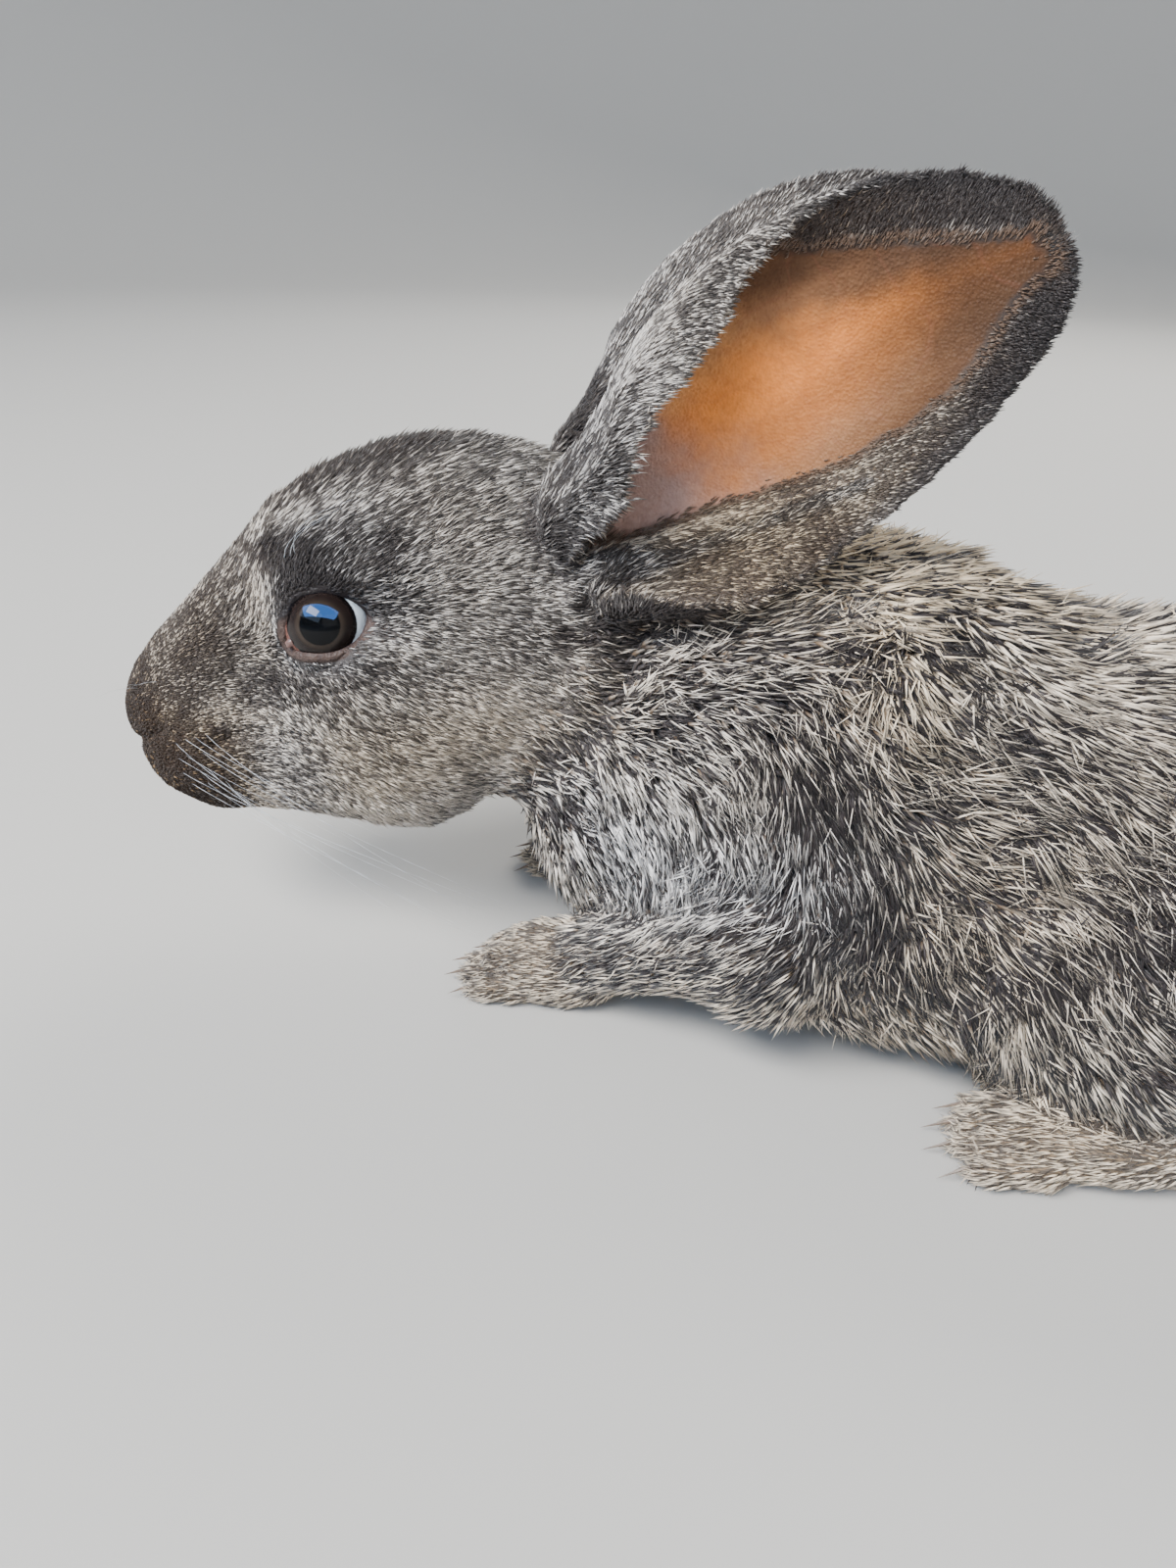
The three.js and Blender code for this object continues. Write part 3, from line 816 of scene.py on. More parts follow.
def openLids(piece):  # cuts the opening, and turns its edge in behind the eyeball's surface
    bm = bmesh.new()
    bm.from_mesh(piece.data)
    ball = eyeRadius / mm
    for side in sides:
        bm.verts.ensure_lookup_table()
        centre, axes = eyeAxes(side)
        past = lidPlace(np.array([vert.co for vert in bm.verts]), side)[0]
        inside = [face for face in bm.faces if max(past[vert.index] for vert in face.verts) < lids["cut"]]
        bmesh.ops.delete(bm, geom=inside, context="FACES")
        bm.verts.ensure_lookup_table()
        bm.verts.index_update()
        edge = [e for e in bm.edges if e.is_boundary]
        rim = {vert for e in edge for vert in e.verts}
        for vert in rim:
            turned = axes @ np.array(vert.co - Vector(centre))
            angle = math.atan2(turned[1], turned[0])
            reach = float(lidReach(angle)) / ball
            place = np.array([math.cos(angle) * reach, math.sin(angle) * reach, 0])
            place[2] = math.sqrt(max(1 - reach * reach, 0))
            vert.co = Vector(centre + (place * (ball + lids["rest"]) * mm) @ axes)
        turnedIn = bmesh.ops.extrude_edge_only(bm, edges=edge)["geom"]
        inner = [vert for vert in turnedIn if isinstance(vert, bmesh.types.BMVert)]
        for vert in inner:
            vert.co = Vector(centre) + (vert.co - Vector(centre)) * (1 - lids["turnIn"] / ball)
        ring = [e for e in turnedIn if isinstance(e, bmesh.types.BMEdge) and e.is_boundary]
        cap = bmesh.ops.contextual_create(bm, geom=ring)["faces"]
        bmesh.ops.triangulate(bm, faces=cap)
    bmesh.ops.recalc_face_normals(bm, faces=bm.faces)
    bm.to_mesh(piece.data)
    bm.free()


skin = voxelSkin()
shrinkSkin(skin.data)
refineFace(skin)
foldSkin(skin.data)
shapeLids(skin.data)
openLids(skin)
skin.data.shade_smooth()
print("skin: in place,", len(skin.data.vertices), "points,", len(readTriangles(skin.data)), "triangles")


# markings and painted shade: tone from -1 (blackish) to 1 (pale), warm from 0 (grey) to 1 (tan), bare from 0
# (fur) to 1 (skin)

spots = {  # head frame, mm, both sides: tone, warm, width, then the line that it follows
    "nose tip": (-1.0, -0.1, 6, ((-54, 0, -10), (-54, 0, -17), (-51, -9, -20), (-53, 0, -23))),
    "muzzle": (-0.5, 0.7, 12, ((-54, 0, -20), (-44, -9, -27))),
    "upper lip": (0.3, 0.4, 4, ((-50, -5, -31), (-46, -11, -30))),
    "snout": (-0.4, 0.25, 12, ((-42, -6, -7), (-31, -12, -3))),
    "whisker pad": (-0.95, 0.8, 9, ((-44, -13, -26), (-36, -16, -29))),
    "lips": (-0.9, 0.2, 5, ((-50, -3, -32), (-44, -9, -36), (-36, -12, -38))),
    # chin: painted shade under the jaw
    "chin": (-0.6, 0.1, 8, ((-42, 0, -43), (-34, -6, -43))),
    # painted shade in the crease below the ear's base
    "ear crease": (-0.9, 0.0, 2.6, ((45, -26, -10), (51, -27, -11), (58, -29, -9), (66, -32, -6), (74, -31, -3))),
    "brow tuft": (-0.7, -0.1, 5, ((-9, -17, 15), (-4, -19.5, 12))),
    # painted shade of the upper lid's fold, running on behind the eye's rear corner
    "lash line": (-0.5, -0.1, 3, ((-4, -24, 6.5), (6, -25, 5.5), (20, -27.4, 0))),
    "eye front": (0.12, 0.1, 5, ((-14, -18.5, 8), (-15, -19, -4))),
    "cheek tuft": (0.5, 0.15, 4.5, ((-28, -18, -17), (-20, -20.3, -18))),
    "below eye": (-0.25, 0.0, 5, ((-4, -25, -12), (12, -27, -10))),
    "cheek": (0.15, 0.35, 12, ((0, -28, -27), (24, -31, -26))),
    # painted shade along the fold in front of the cheek
    "dark fold": (-0.35, 0.0, 5, ((-15, -19.6, -12), (-27, -17, -20))),
    "crown": (-0.5, -0.05, 9.5, ((4, 0, 26), (40, 0, 28))),
    "forehead": (-0.4, 0.1, 14, ((-16, 0, 16), (14, -6, 24))),
    "forehead streak": (0.12, 0.0, 3.5, ((-14, -9, 17), (-2, -15, 20), (8, -19, 19))),
    "temple": (-0.35, -0.1, 6, ((2, -22, 16), (18, -25, 10))),
    "ear root": (0.2, 0.1, 8, ((46, -20, 4), (52, -24, -4))),
    "jaw": (0.25, 0.1, 14, ((-20, 0, -44), (20, 0, -48))),
    # painted shade where the cheek lies over the neck
    "throat fold": (-0.55, 0.0, 4.5, throat[:4]),
}

bodySpots = {  # row frame, mm, both sides
    # the hollows, the break and the ground behind the ridge are darker: painted shade in these creases, with the
    # dark undercoat where the fur parts
    "shoulder hollow": (-0.8, 0.0, 4.5, hollow[:4]),
    "low hollow": (-0.6, 0.0, 5, ((0.5, -44.4, 67), (3, -45.3, 61))),
    "shoulder ridge": (0.5, 0.4, 5, ridge),
    "behind ridge": (-0.6, 0.0, 5, ((16.5, -14, 98), (18, -23, 92), (26, -28, 85))),
    "flank break": (-0.6, 0.1, 4.5, ((17, -43, 60), (24, -41, 65))),
    "elbow": (-0.3, 0.0, 9, ((10, -46, 38), (30, -50, 30))),
    "nape": (0.1, 0.35, 14, ((-20, -20, 100), (10, 0, 104), (60, 0, 104))),
    "low chest": (0.1, -0.5, 14, ((-40, -34, 40), (-5, -44, 50))),
    "low flank": (-0.25, 0.0, 8, ((22, -50, 42), (40, -54, 38))),
}


earMarks = {  # how much darker, then from which value to which it sets in
    "rim": (0.5, 2.4),  # and the rim's width, mm
    "foot": (0.35, 0.4, 0.15),
    "tip": (0.3, 0.7, 1.0),
    # painted shade on the ear's downward faces, over the neck
    "underside": (0.6, -0.1, -0.7),
}


def markAndShadeSkin(mesh):
    points = readPoints(mesh)
    normals = pointNormals(points, readTriangles(mesh))
    edges = readEdges(mesh)
    parts = np.rint(readField(mesh, "part")).astype(int)
    tone, warm = spreadOut(coatTable[np.clip(parts, 0, len(partNames) - 1), 3:], edges, 14).T
    local = leftSide(toHead(points))
    whole = leftSide(points / mm)
    onHead = np.clip(readField(mesh, "headShare") * 1.4, 0, 1)
    onEar = readField(mesh, "earShare")
    for marks, where, share in ((spots, local, 1 - onEar), (bodySpots, whole, 1 - onHead)):
        for toneStep, warmStep, wide, line in marks.values():
            near = bell(gapToLine(where, line), wide) * share
            tone += toneStep * near
            warm += warmStep * near
    under = smoothStep(-0.35, -0.85, normals[:, 2]) * (1 - onEar)
    isPaw = onParts(parts, "forepaw", "hind_foot")
    tone += 0.32 * under * (1 - onHead) * np.where(isPaw, 0.3, 1)
    # painted shade in the grooves between the toes
    tone -= 0.5 * toeGroove(points) * (whole[:, 2] < toes["top"])
    tone += np.where(onParts(parts, "tail"), smoothStep(0.2, 0.8, normals[:, 0]) * 0.8 - 0.2, 0)

    along = readField(mesh, "earAlong")
    across = readField(mesh, "earAcross")
    edge = readField(mesh, "earEdge") + softNoise(points, 5 * mm, 3) * 0.8
    inside = smoothStep(0.05, 0.45, readField(mesh, "earInside"))
    outer = np.where(across > 0, smoothStep(0.6, 0.85, along), smoothStep(0.3, 0.6, along))
    dark, wide = earMarks["rim"]
    tone -= dark * onEar * bell(edge, wide) * outer
    for name, value in (("foot", along), ("tip", along), ("underside", normals[:, 2])):
        dark, low, high = earMarks[name]
        tone -= dark * onEar * (1 - inside) * smoothStep(low, high, value)
    fold = readField(mesh, "earFold") + softNoise(points, 4 * mm, 5) * 0.04
    fringe = blendTo(2.0, 5.0, smoothStep(0.5, 0.9, along)) * np.where(across < 0, 0.8, 1)
    fuzz = np.maximum(smoothStep(0.08, -0.09, fold), smoothStep(fringe + 3.5, fringe - 2.5, edge))
    fuzz = np.maximum(fuzz, smoothStep(0.5, 0.62, across) * smoothStep(0.52, 0.38, along))
    dusk = np.maximum(fuzz, smoothStep(fringe + 9, fringe, edge))
    isTop = np.maximum(smoothStep(-0.2, 0.2, across), smoothStep(0.75, 0.95, along)) * smoothStep(0.5, 0.7, along)
    warm += 0.3 * inside * onEar * fuzz
    tone -= 0.5 * inside * onEar * dusk * isTop
    tone -= 0.22 * inside * onEar * fuzz * smoothStep(-0.1, -0.4, across)
    bare = inside * onEar * (1 - fuzz)

    lidShare = np.zeros(len(points))
    for side in sides:
        past, _, turned = lidPlace(points, side)
        over = smoothStep(-0.1, 0.3, turned[:, 1])
        lidShare = np.maximum(lidShare, 1 - smoothStep(1.5, 2.4, past + 0.7 * over))
        # a ring round each eye, darkest above it: painted shade of the upper lid
        around = bell(past - 2, 2.5) * (1 - onEar)
        tone += around * blendTo(-0.1, -0.6, over)
        warm -= around * 0.3
    slit = readField(mesh, "slit")
    # painted shade in the nostrils, the lip's cleft and the mouth
    tone -= 1.2 * slit
    bare = np.maximum(np.maximum(bare, lidShare), smoothStep(0.4, 0.75, slit))
    onPad = bell(gapToLine(local, ((-47, -11, -24), (-35, -17, -29))), 9) * (1 - onEar)
    mottle = softNoise(points, 2.4 * mm, 61)
    tone += 0.75 * onPad * mottle
    tone += 0.4 * bell(gapToLine(local, ((-52, 0, -16), (-46, 0, -34))), 10) * mottle * (1 - onEar)
    warm += 0.3 * onPad * mottle
    patch = softNoise(points, 9 * mm, 62) * 0.6 + softNoise(points, 4.5 * mm, 63) * 0.5
    tone += 0.18 * patch * onHead * (1 - onEar)
    soft = spreadOut(np.maximum(np.maximum(onHead, onEar), 0.7 * isPaw), edges, 6)
    fields = {"tone": tone, "warm": warm, "bare": bare, "soft": soft, "earHollow": inside * onEar}
    for name, values in fields.items():
        storeField(mesh, name, np.clip(values, -1, 1))


markAndShadeSkin(skin.data)
print("skin: marked")


# eyes

eyes = {
    "gazeRear": -1.25,  # mm that the pupil stands from the middle of the lids, rearwards and up
    "gazeUp": -0.45,
    "corneaSwell": 0.55,  # mm
    "corneaAngle": 50,  # degrees from the gaze to the cornea's edge
    "segments": 72,
    "rings": 60,
}


def addEye(side):
    centre, axes = eyeAxes(side)
    ball = eyeRadius / mm
    flat = np.array([eyes["gazeRear"], eyes["gazeUp"]]) / ball
    gaze = Vector(np.array([flat[0], flat[1], math.sqrt(1 - flat @ flat)]) @ axes)
    bm = bmesh.new()
    bmesh.ops.create_uvsphere(bm, u_segments=eyes["segments"], v_segments=eyes["rings"], radius=eyeRadius)
    ring = bm.verts.layers.float.new("ring")
    rearward = bm.verts.layers.float.new("rearward")
    turn = gaze.to_track_quat("Z", "Y").to_matrix().to_4x4()
    for vert in bm.verts:
        angle = math.degrees(vert.co.angle(Vector((0, 0, 1))))
        vert[ring] = math.sin(math.radians(min(angle, 90)))
        vert[rearward] = (turn @ vert.co).dot(Vector(axes[0])) / eyeRadius
        swell = max(1 - (angle / eyes["corneaAngle"]) ** 2, 0) ** 1.5 * eyes["corneaSwell"]
        vert.co *= 1 + swell * mm / eyeRadius
    bmesh.ops.transform(bm, matrix=turn, verts=bm.verts)
    bmesh.ops.translate(bm, vec=Vector(centre), verts=bm.verts)
    piece = shapedPiece(side + "_eyeball", bm, True)
    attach(piece, "root")
    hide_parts(side + "_eye")
    return piece


tearCorner = {"at": (-6.8, -3.7), "size": (1.6, 0.9, 0.8), "out": -0.5}  # mm


def addTearCorner(side):
    centre, axes = eyeAxes(side)
    ball = eyeRadius / mm
    flat = np.array(tearCorner["at"]) / ball
    way = np.array([flat[0], flat[1], math.sqrt(1 - flat @ flat)]) @ axes
    bm = bmesh.new()
    bmesh.ops.create_icosphere(bm, subdivisions=3, radius=1)
    for vert in bm.verts:
        vert.co *= 1 + 0.12 * math.sin(5 * vert.co.x + 3) * math.sin(6 * vert.co.y + 1)
    turned = Matrix(np.array(axes).T).to_4x4() @ Matrix.Rotation(math.radians(35), 4, "Z")
    size = Matrix.Diagonal([value * mm for value in tearCorner["size"]] + [1])
    at = Vector(centre + way * (ball + tearCorner["out"]) * mm)
    bmesh.ops.transform(bm, matrix=Matrix.Translation(at) @ turned @ size, verts=bm.verts)
    bmesh.ops.recalc_face_normals(bm, faces=bm.faces)
    piece = shapedPiece(side + "_tear_corner", bm, True)
    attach(piece, "root")
    return piece


whiskerSets = {  # head frame, left side, mm; the way at the root, then the bend towards the tip
    "whiskers": {
        "count": 13, "from": (-43, -18.5, -20), "to": (-32, -18.5, -33), "length": (24, 46), "radius": 0.052,
        "way": (0.62, -0.72, -0.22), "bend": (0.65, 0.1, -0.5),
    },
    "brow whiskers": {
        "count": 3, "from": (-7, -20, 13), "to": (-2, -21, 14), "length": (13, 22), "radius": 0.08,
        "way": (0.1, -0.6, 0.8), "bend": (0.7, 0.0, -0.25),
    },
    "nose whiskers": {
        "count": 3, "from": (-49, -7, -12), "to": (-40, -12, -9), "length": (7, 12), "radius": 0.045,
        "way": (-0.35, -0.8, 0.5), "bend": (0.1, -0.1, -0.15),
    },
}


def hairTubes(name, starts, ways, bends, lengths, radii, steps=9):  # tapered hairs on curved lines, four-sided
    share = np.linspace(0, 1, steps)[None, :, None]
    spots = starts[:, None] + lengths[:, None, None] * (ways[:, None] * share + bends[:, None] * share ** 2)
    tangents = unit(np.gradient(spots, axis=1))
    aside = unit(np.cross(tangents, np.array([0.1, 0.3, 1.0])))
    upward = np.cross(tangents, aside)
    wide = radii[:, None, None] * (1 - 0.85 * share)
    ring = np.stack([aside, upward, -aside, -upward], axis=2) * wide[..., None]
    points = (spots[:, :, None] + ring).reshape(-1, 3)
    faces = []
    for step in range(steps - 1):
        for corner in range(4):
            a, b = step * 4 + corner, step * 4 + (corner + 1) % 4
            faces += [(a, b, b + 4), (a, b + 4, a + 4)]
    last = steps * 4 - 4
    faces += [(2, 1, 0), (3, 2, 0), (last, last + 1, last + 2), (last, last + 2, last + 3)]
    count = len(starts)
    faces = (np.arange(count)[:, None, None] * steps * 4 + np.array(faces)).reshape(-1, 3)
    mesh = meshFromArrays(name, points, faces)
    mesh.shade_smooth()
    piece = newPiece(name, mesh)
    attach(piece, "root")
    return piece


def addWhiskers(seed=31):
    random = np.random.default_rng(seed)
    tree = BVHTree.FromPolygons(readPoints(skin.data).tolist(), readTriangles(skin.data).tolist())
    pieces = []
    for name, own in whiskerSets.items():
        starts, ways, bends, lengths, radii = [], [], [], [], []
        for flip in (1, -1):
            for index in range(own["count"]):
                share = (index + 0.5) / own["count"] + random.uniform(-0.1, 0.1)
                row = (index % 4) / 3 - 0.5
                shares = np.array([share, share, (row + 0.5) * 0.9])
                at = blendTo(np.array(own["from"]), np.array(own["to"]), shares)
                mirror = np.array([1, flip, 1])
                spot, normal = tree.find_nearest(Vector(fromHead(at * mirror)))[:2]
                way = headWay(unit(np.array(own["way"]) + random.uniform(-0.14, 0.14, 3)) * mirror)
                bend = headWay((np.array(own["bend"]) + random.uniform(-0.12, 0.12, 3)) * mirror)
                starts.append(np.array(spot - normal * 0.6 * mm))
                ways.append(way)
                bends.append(bend)
                lengths.append(random.uniform(*own["length"]) * mm)
                radii.append(own["radius"] * random.uniform(0.75, 1.15) * mm)
        pieces.append(hairTubes(name.replace(" ", "_"), np.array(starts), np.array(ways), np.array(bends),
                                np.array(lengths), np.array(radii)))
    return pieces


lashMake = {"count": 34, "length": (1.8, 3.4), "radius": 0.075, "from": 12, "to": 165}  # mm, and degrees


def addLashes(side, seed=5):
    random = np.random.default_rng(seed)
    centre, axes = eyeAxes(side)
    ball = eyeRadius / mm
    turns = np.radians(np.linspace(lashMake["from"], lashMake["to"], lashMake["count"]))
    turns = turns + random.uniform(-0.03, 0.03, len(turns))
    reach = (lidReach(turns) + 0.45) / ball
    flat = np.stack([np.cos(turns) * reach, np.sin(turns) * reach], axis=1)
    way = np.column_stack([flat, np.sqrt(np.clip(1 - np.sum(flat ** 2, axis=1), 0.02, 1))])
    starts = centre + (way * (ball + 0.5) * mm) @ axes
    fan = way + np.column_stack([flat * 0.2, np.full(len(way), 0.5)])
    ways = unit(fan + random.normal(0, 0.1, way.shape)) @ axes
    bends = np.array([[0.15, 0.4, -0.1]] * len(way)) @ axes
    lengths = random.uniform(*lashMake["length"], len(way)) * mm
    radii = np.full(len(way), lashMake["radius"] * mm)
    return hairTubes(side + "_lashes", starts, ways, bends, lengths, radii, 5)


whiskers = addWhiskers()
lashes = [addLashes(side) for side in sides]
eyeballs = [addEye(side) for side in sides]
tearCorners = [addTearCorner(side) for side in sides]
print("eyes: in place")


# coat: tufts and hairs as joined meshes

coatPieces = {  # parts, then a side or a stretch of the head in mm, hairs or tufts, and how many
    "coat_face": (("head", "nose", "lower_jaw"), (-90, 2), "hair", 49000),
    "coat_cheeks": (("head", "lower_jaw"), (2, 90), "hair", 49000),
    "coat_left_ear": (("ear",), "left", "hair", 44000),
    "coat_right_ear": (("ear",), "right", "hair", 18000),
    "coat_locks": (("neck", "chest", "loin", "rump", "upper_arm", "thigh", "tail"), None, "lock", 19500),
    "coat_shoulders": (("neck", "chest", "upper_arm"), None, "hair", 49000),
    "coat_flanks": (("loin",), None, "hair", 42000),
    "coat_rump": (("rump", "thigh", "tail"), None, "hair", 45500),
    "coat_legs": (("forearm", "forepaw", "shank", "hind_foot"), None, "hair", 30000),
}

hairMake = {  # mm unless said
    "width": (0.25, 0.32),  # a hair's greatest width, where the coat is shortest and longest
    "widest": 0.4,  # share of its length where a hair is widest
    "arch": 0.06,  # of its length that a hair bows outwards
    "roll": 0.35,
    "pale": (0.8, 1.08),  # a pale hair's width and length, then a dark one's
    "dark": (1.2, 0.85),
    "lockWidth": 0.95,
    "lockLength": 0.72,  # of the coat's length
    "lockAlong": 0.5,  # how far up a hair's colours a lock's tip reaches
    "sink": 0.35,  # that a root lies under the skin
    "clump": (1.7, 4.2),  # distance between the middles of clumps, for a short and a long coat
    "clumpPull": (0.25, 0.5),
    "stray": (0.17, 0.36),  # sideways spread of single hairs, short and long coat
    "sway": (0.12, 0.38),  # sideways spread of whole patches
    "keep": 0.35,  # share of its own place that a hair's tip keeps in its clump
    "leastLift": 5,  # degrees
    "lockLift": 0.8,  # of the coat's lift
    "lowest": 0.1,  # height above the floor
}

skinPoints = readPoints(skin.data)
skinTriangles = readTriangles(skin.data)
skinNormals = pointNormals(skinPoints, skinTriangles)
skinFields = {name: readField(skin.data, name) for name in
              ("length", "lift", "tone", "warm", "bare", "soft", "lie", "part", "earShare",
               "earAlong", "earAcross", "earInside", "earEdge", "headShare")}
skinLocal = toHead(skinPoints)
skinTree = KDTree(len(skinPoints))
for index, point in enumerate(skinPoints.tolist()):
    skinTree.insert(point, index)
skinTree.balance()


crowding = {  # more or fewer hairs, as a share of the full number
    "earFoot": 0.35,
    "sole": 0.3,
    "sides": (0.8, 1.2),  # right and left
    "under": 0.6,
    "short": 1.5,
    "claws": 1.5,
}


def coatDensity():  # share of the full number of hairs at each point of the skin
    earFoot = crowding["earFoot"] * skinFields["earShare"] * smoothStep(0.25, 0.1, skinFields["earAlong"])
    whole = 1 - smoothStep(0.25, 0.75, skinFields["bare"] - earFoot)
    sole = (skinPoints[:, 2] < 2.0 * mm) & (skinNormals[:, 2] < -0.8)
    nearSide = blendTo(*crowding["sides"], smoothStep(0.3, -0.3, skinNormals[:, 1]))
    under = blendTo(1, crowding["under"], smoothStep(-0.4, -0.9, skinNormals[:, 2]))
    short = blendTo(crowding["short"], 1, smoothStep(1.5, 4.5, skinFields["length"]))
    byClaw = 1 + crowding["claws"] * bell(clawGap(skinPoints), 4)
    return whole * np.where(sole, crowding["sole"], 1) * nearSide * under * short * byClaw


skinDensity = coatDensity()


def pieceMask(parts, zone):
    mask = onParts(np.rint(skinFields["part"]), *parts)
    if zone in sides:
        return mask & (np.sign(skinLocal[:, 1]) == sides[zone])
    if zone:
        return mask & (skinLocal[:, 0] > zone[0]) & (skinLocal[:, 0] <= zone[1])
    return mask


def doubleAreas(triangles):
    spots = skinPoints[triangles]
    return np.linalg.norm(np.cross(spots[:, 1] - spots[:, 0], spots[:, 2] - spots[:, 0]), axis=1)


def pickRoots(mask, count, random):  # triangle and place in it for each root
    share = skinDensity[skinTriangles].mean(axis=1)
    weight = doubleAreas(skinTriangles) * share * mask[skinTriangles[:, 0]]
    reach = np.cumsum(weight)
    picked = np.searchsorted(reach, (np.arange(count) + random.random(count)) / count * reach[-1])
    picked = np.clip(picked, 0, len(skinTriangles) - 1)
    first, second = random.random((2, count))
    over = first + second > 1
    first[over], second[over] = 1 - first[over], 1 - second[over]
    return skinTriangles[picked], np.stack([1 - first - second, first, second], axis=1)


def atRoots(values, corners, shares):
    return np.einsum("nk...,nk->n...", values[corners], shares)


def patchPlaces(across, along, count):  # one free cell of the unwrap for each tuft, near its own place
    rows = int(math.sqrt(count))
    order = np.argsort(along, kind="stable")
    row = np.empty(count, int)
    row[order] = np.arange(count) * rows // count
    order = np.lexsort((across, row))
    starts = np.searchsorted(row[order], np.arange(rows))
    inRow = np.empty(count, int)
    inRow[order] = np.arange(count) - starts[row[order]]
    size = np.bincount(row, minlength=rows)[row]
    return (inRow + 0.5) / size, (row + 0.5) / rows


def unwrapRoots(roots, parts, along, across, inside):
    if parts == ("ear",):
        return across + np.where(inside > 0, 3, 0), along
    if "head" in parts:
        local = toHead(roots)
        return np.arctan2(local[:, 1], local[:, 2] + 12), local[:, 0]
    if "forepaw" in parts:
        middle = np.sign(roots[:, 1]) * 0.042
        turn = np.arctan2(roots[:, 1] - middle, roots[:, 2] - 0.012)
        return turn + np.where(roots[:, 1] > 0, 7, 0), roots[:, 0]
    return np.arctan2(roots[:, 1], roots[:, 2] - 0.05), roots[:, 0]


def growCoat(name, seed):
    parts, zone, kind, count = coatPieces[name]
    random = np.random.default_rng(seed)
    corners, shares = pickRoots(pieceMask(parts, zone), count, random)
    roots = atRoots(skinPoints, corners, shares)
    normals = unit(atRoots(skinNormals, corners, shares))
    field = {key: atRoots(values, corners, shares) for key, values in skinFields.items()}
    isLong = smoothStep(3.5, 10, field["length"])
    shade = 0.5 + (random.random(count) - 0.5) * 0.9 + softNoise(roots, 0.9 * mm, 40) * 0.22
    showing = (roots + unit(field["lie"]) * (field["length"] * 0.55 * mm)[:, None]).tolist()
    seen = np.array([skinTree.find(spot)[1] for spot in showing])
    tone = np.where(field["earShare"] > 0.5, field["tone"], skinFields["tone"][seen])
    tone = tone + softNoise(roots, 10 * mm, 20) * 0.22 + softNoise(roots, 3.2 * mm, 30) * 0.15
    shade = blendTo(shade, 0.37 + (shade - 0.5) * 0.62, field["soft"])  # short hair has less contrast
    shade = shade - 0.45 * (random.random(count) < 0.1 * field["soft"])
    isPale = (shade < tone * 0.45 + 0.24)[:, None]
    wider, longer = np.where(isPale, hairMake["pale"], hairMake["dark"]).T
    length = field["length"] * random.uniform(0.7, 1.15, count) * longer
    lie = field["lie"] + softVectors(roots, 14 * mm, seed) * blendTo(*hairMake["sway"], isLong)[:, None] * 0.8
    lie = lie + softVectors(roots, 5 * mm, seed + 7) * blendTo(*hairMake["sway"], isLong)[:, None]
    lie = lie + random.normal(0, 1, (count, 3)) * blendTo(*hairMake["stray"], isLong)[:, None]
    lie = unit(lie - normals * dot(lie, normals)[:, None])
    lift = np.radians(field["lift"] * random.uniform(0.5, 1.5, count))
    lift = lift * (hairMake["lockLift"] if kind == "lock" else 1)
    aim = lie * np.cos(lift)[:, None] + normals * np.sin(lift)[:, None]
    tips = roots + aim * (length * mm)[:, None]

    crowd = density(count, corners) * blendTo(*hairMake["clump"], isLong) ** 2
    leaders = np.nonzero(random.random(count) < 1 / np.maximum(crowd, 1))[0]
    if len(leaders) > 10:
        tree = KDTree(len(leaders))
        for index in leaders.tolist():
            tree.insert(roots[index], index)
        tree.balance()
        leader = np.array([tree.find(root)[1] for root in roots.tolist()])
        pull = blendTo(*hairMake["clumpPull"], isLong) * random.uniform(0.5, 1.3, count)
        goal = tips[leader] + (roots - roots[leader]) * hairMake["keep"]
        tips = blendTo(tips, goal, pull[:, None])
        above = dot(tips - roots, normals)
        least = np.sin(np.radians(hairMake["leastLift"])) * length * mm
        tips = tips + normals * np.maximum(least - above, 0)[:, None]

    width = blendTo(*hairMake["width"], isLong) * random.uniform(0.8, 1.25, count) * wider
    if kind == "lock":
        width = hairMake["lockWidth"] * random.uniform(0.7, 1.3, count)
        tips = roots + (tips - roots) * hairMake["lockLength"]
    roll = normals * random.normal(0, hairMake["roll"], count)[:, None]
    sideways = unit(unit(np.cross(normals, tips - roots)) + roll) * (width * mm / 2)[:, None]
    base = roots - normals * hairMake["sink"] * mm
    rise = normals * (width * mm * 0.5)[:, None]
    highest = hairMake["lockAlong"] if kind == "lock" else 1
    if kind == "hair":
        widest = blendTo(roots, tips, hairMake["widest"]) + normals * (length * hairMake["arch"] * mm)[:, None]
        rings = [base, widest - sideways, widest + sideways]
        along = [0, hairMake["widest"], hairMake["widest"]]
        patch = [(0.5, 0), (0, 0.4), (1, 0.4)]
        faces = [(0, 1, 2), (1, 3, 2), (0, 3, 1), (0, 2, 3)]
    else:
        rings = [base - sideways, base + sideways, base + rise]
        along = [0, 0, 0]
        patch = [(0, 0), (1, 0), (0.5, 0.1)]
        middle = blendTo(roots, tips, 0.5) + rise * 1.6
        rings += [middle - sideways * 0.85, middle + sideways * 0.85, middle + rise * 0.6]
        along += [highest / 2] * 3
        patch += [(0.1, 0.5), (0.9, 0.5), (0.5, 0.55)]
        faces = [(0, 1, 2), (0, 3, 1), (1, 3, 4), (1, 4, 2), (2, 4, 5), (2, 5, 0), (0, 5, 3),
                 (3, 6, 4), (4, 6, 5), (5, 6, 3)]
    rings.append(tips)
    along.append(highest)
    patch.append((0.5, 1))
    each = len(rings)
    points = np.stack(rings, axis=1).reshape(-1, 3)
    points[:, 2] = np.maximum(points[:, 2], hairMake["lowest"] * mm)
    faces = (np.arange(count)[:, None, None] * each + np.array(faces)).reshape(-1, 3)
    mesh = meshFromArrays(name, points, faces)

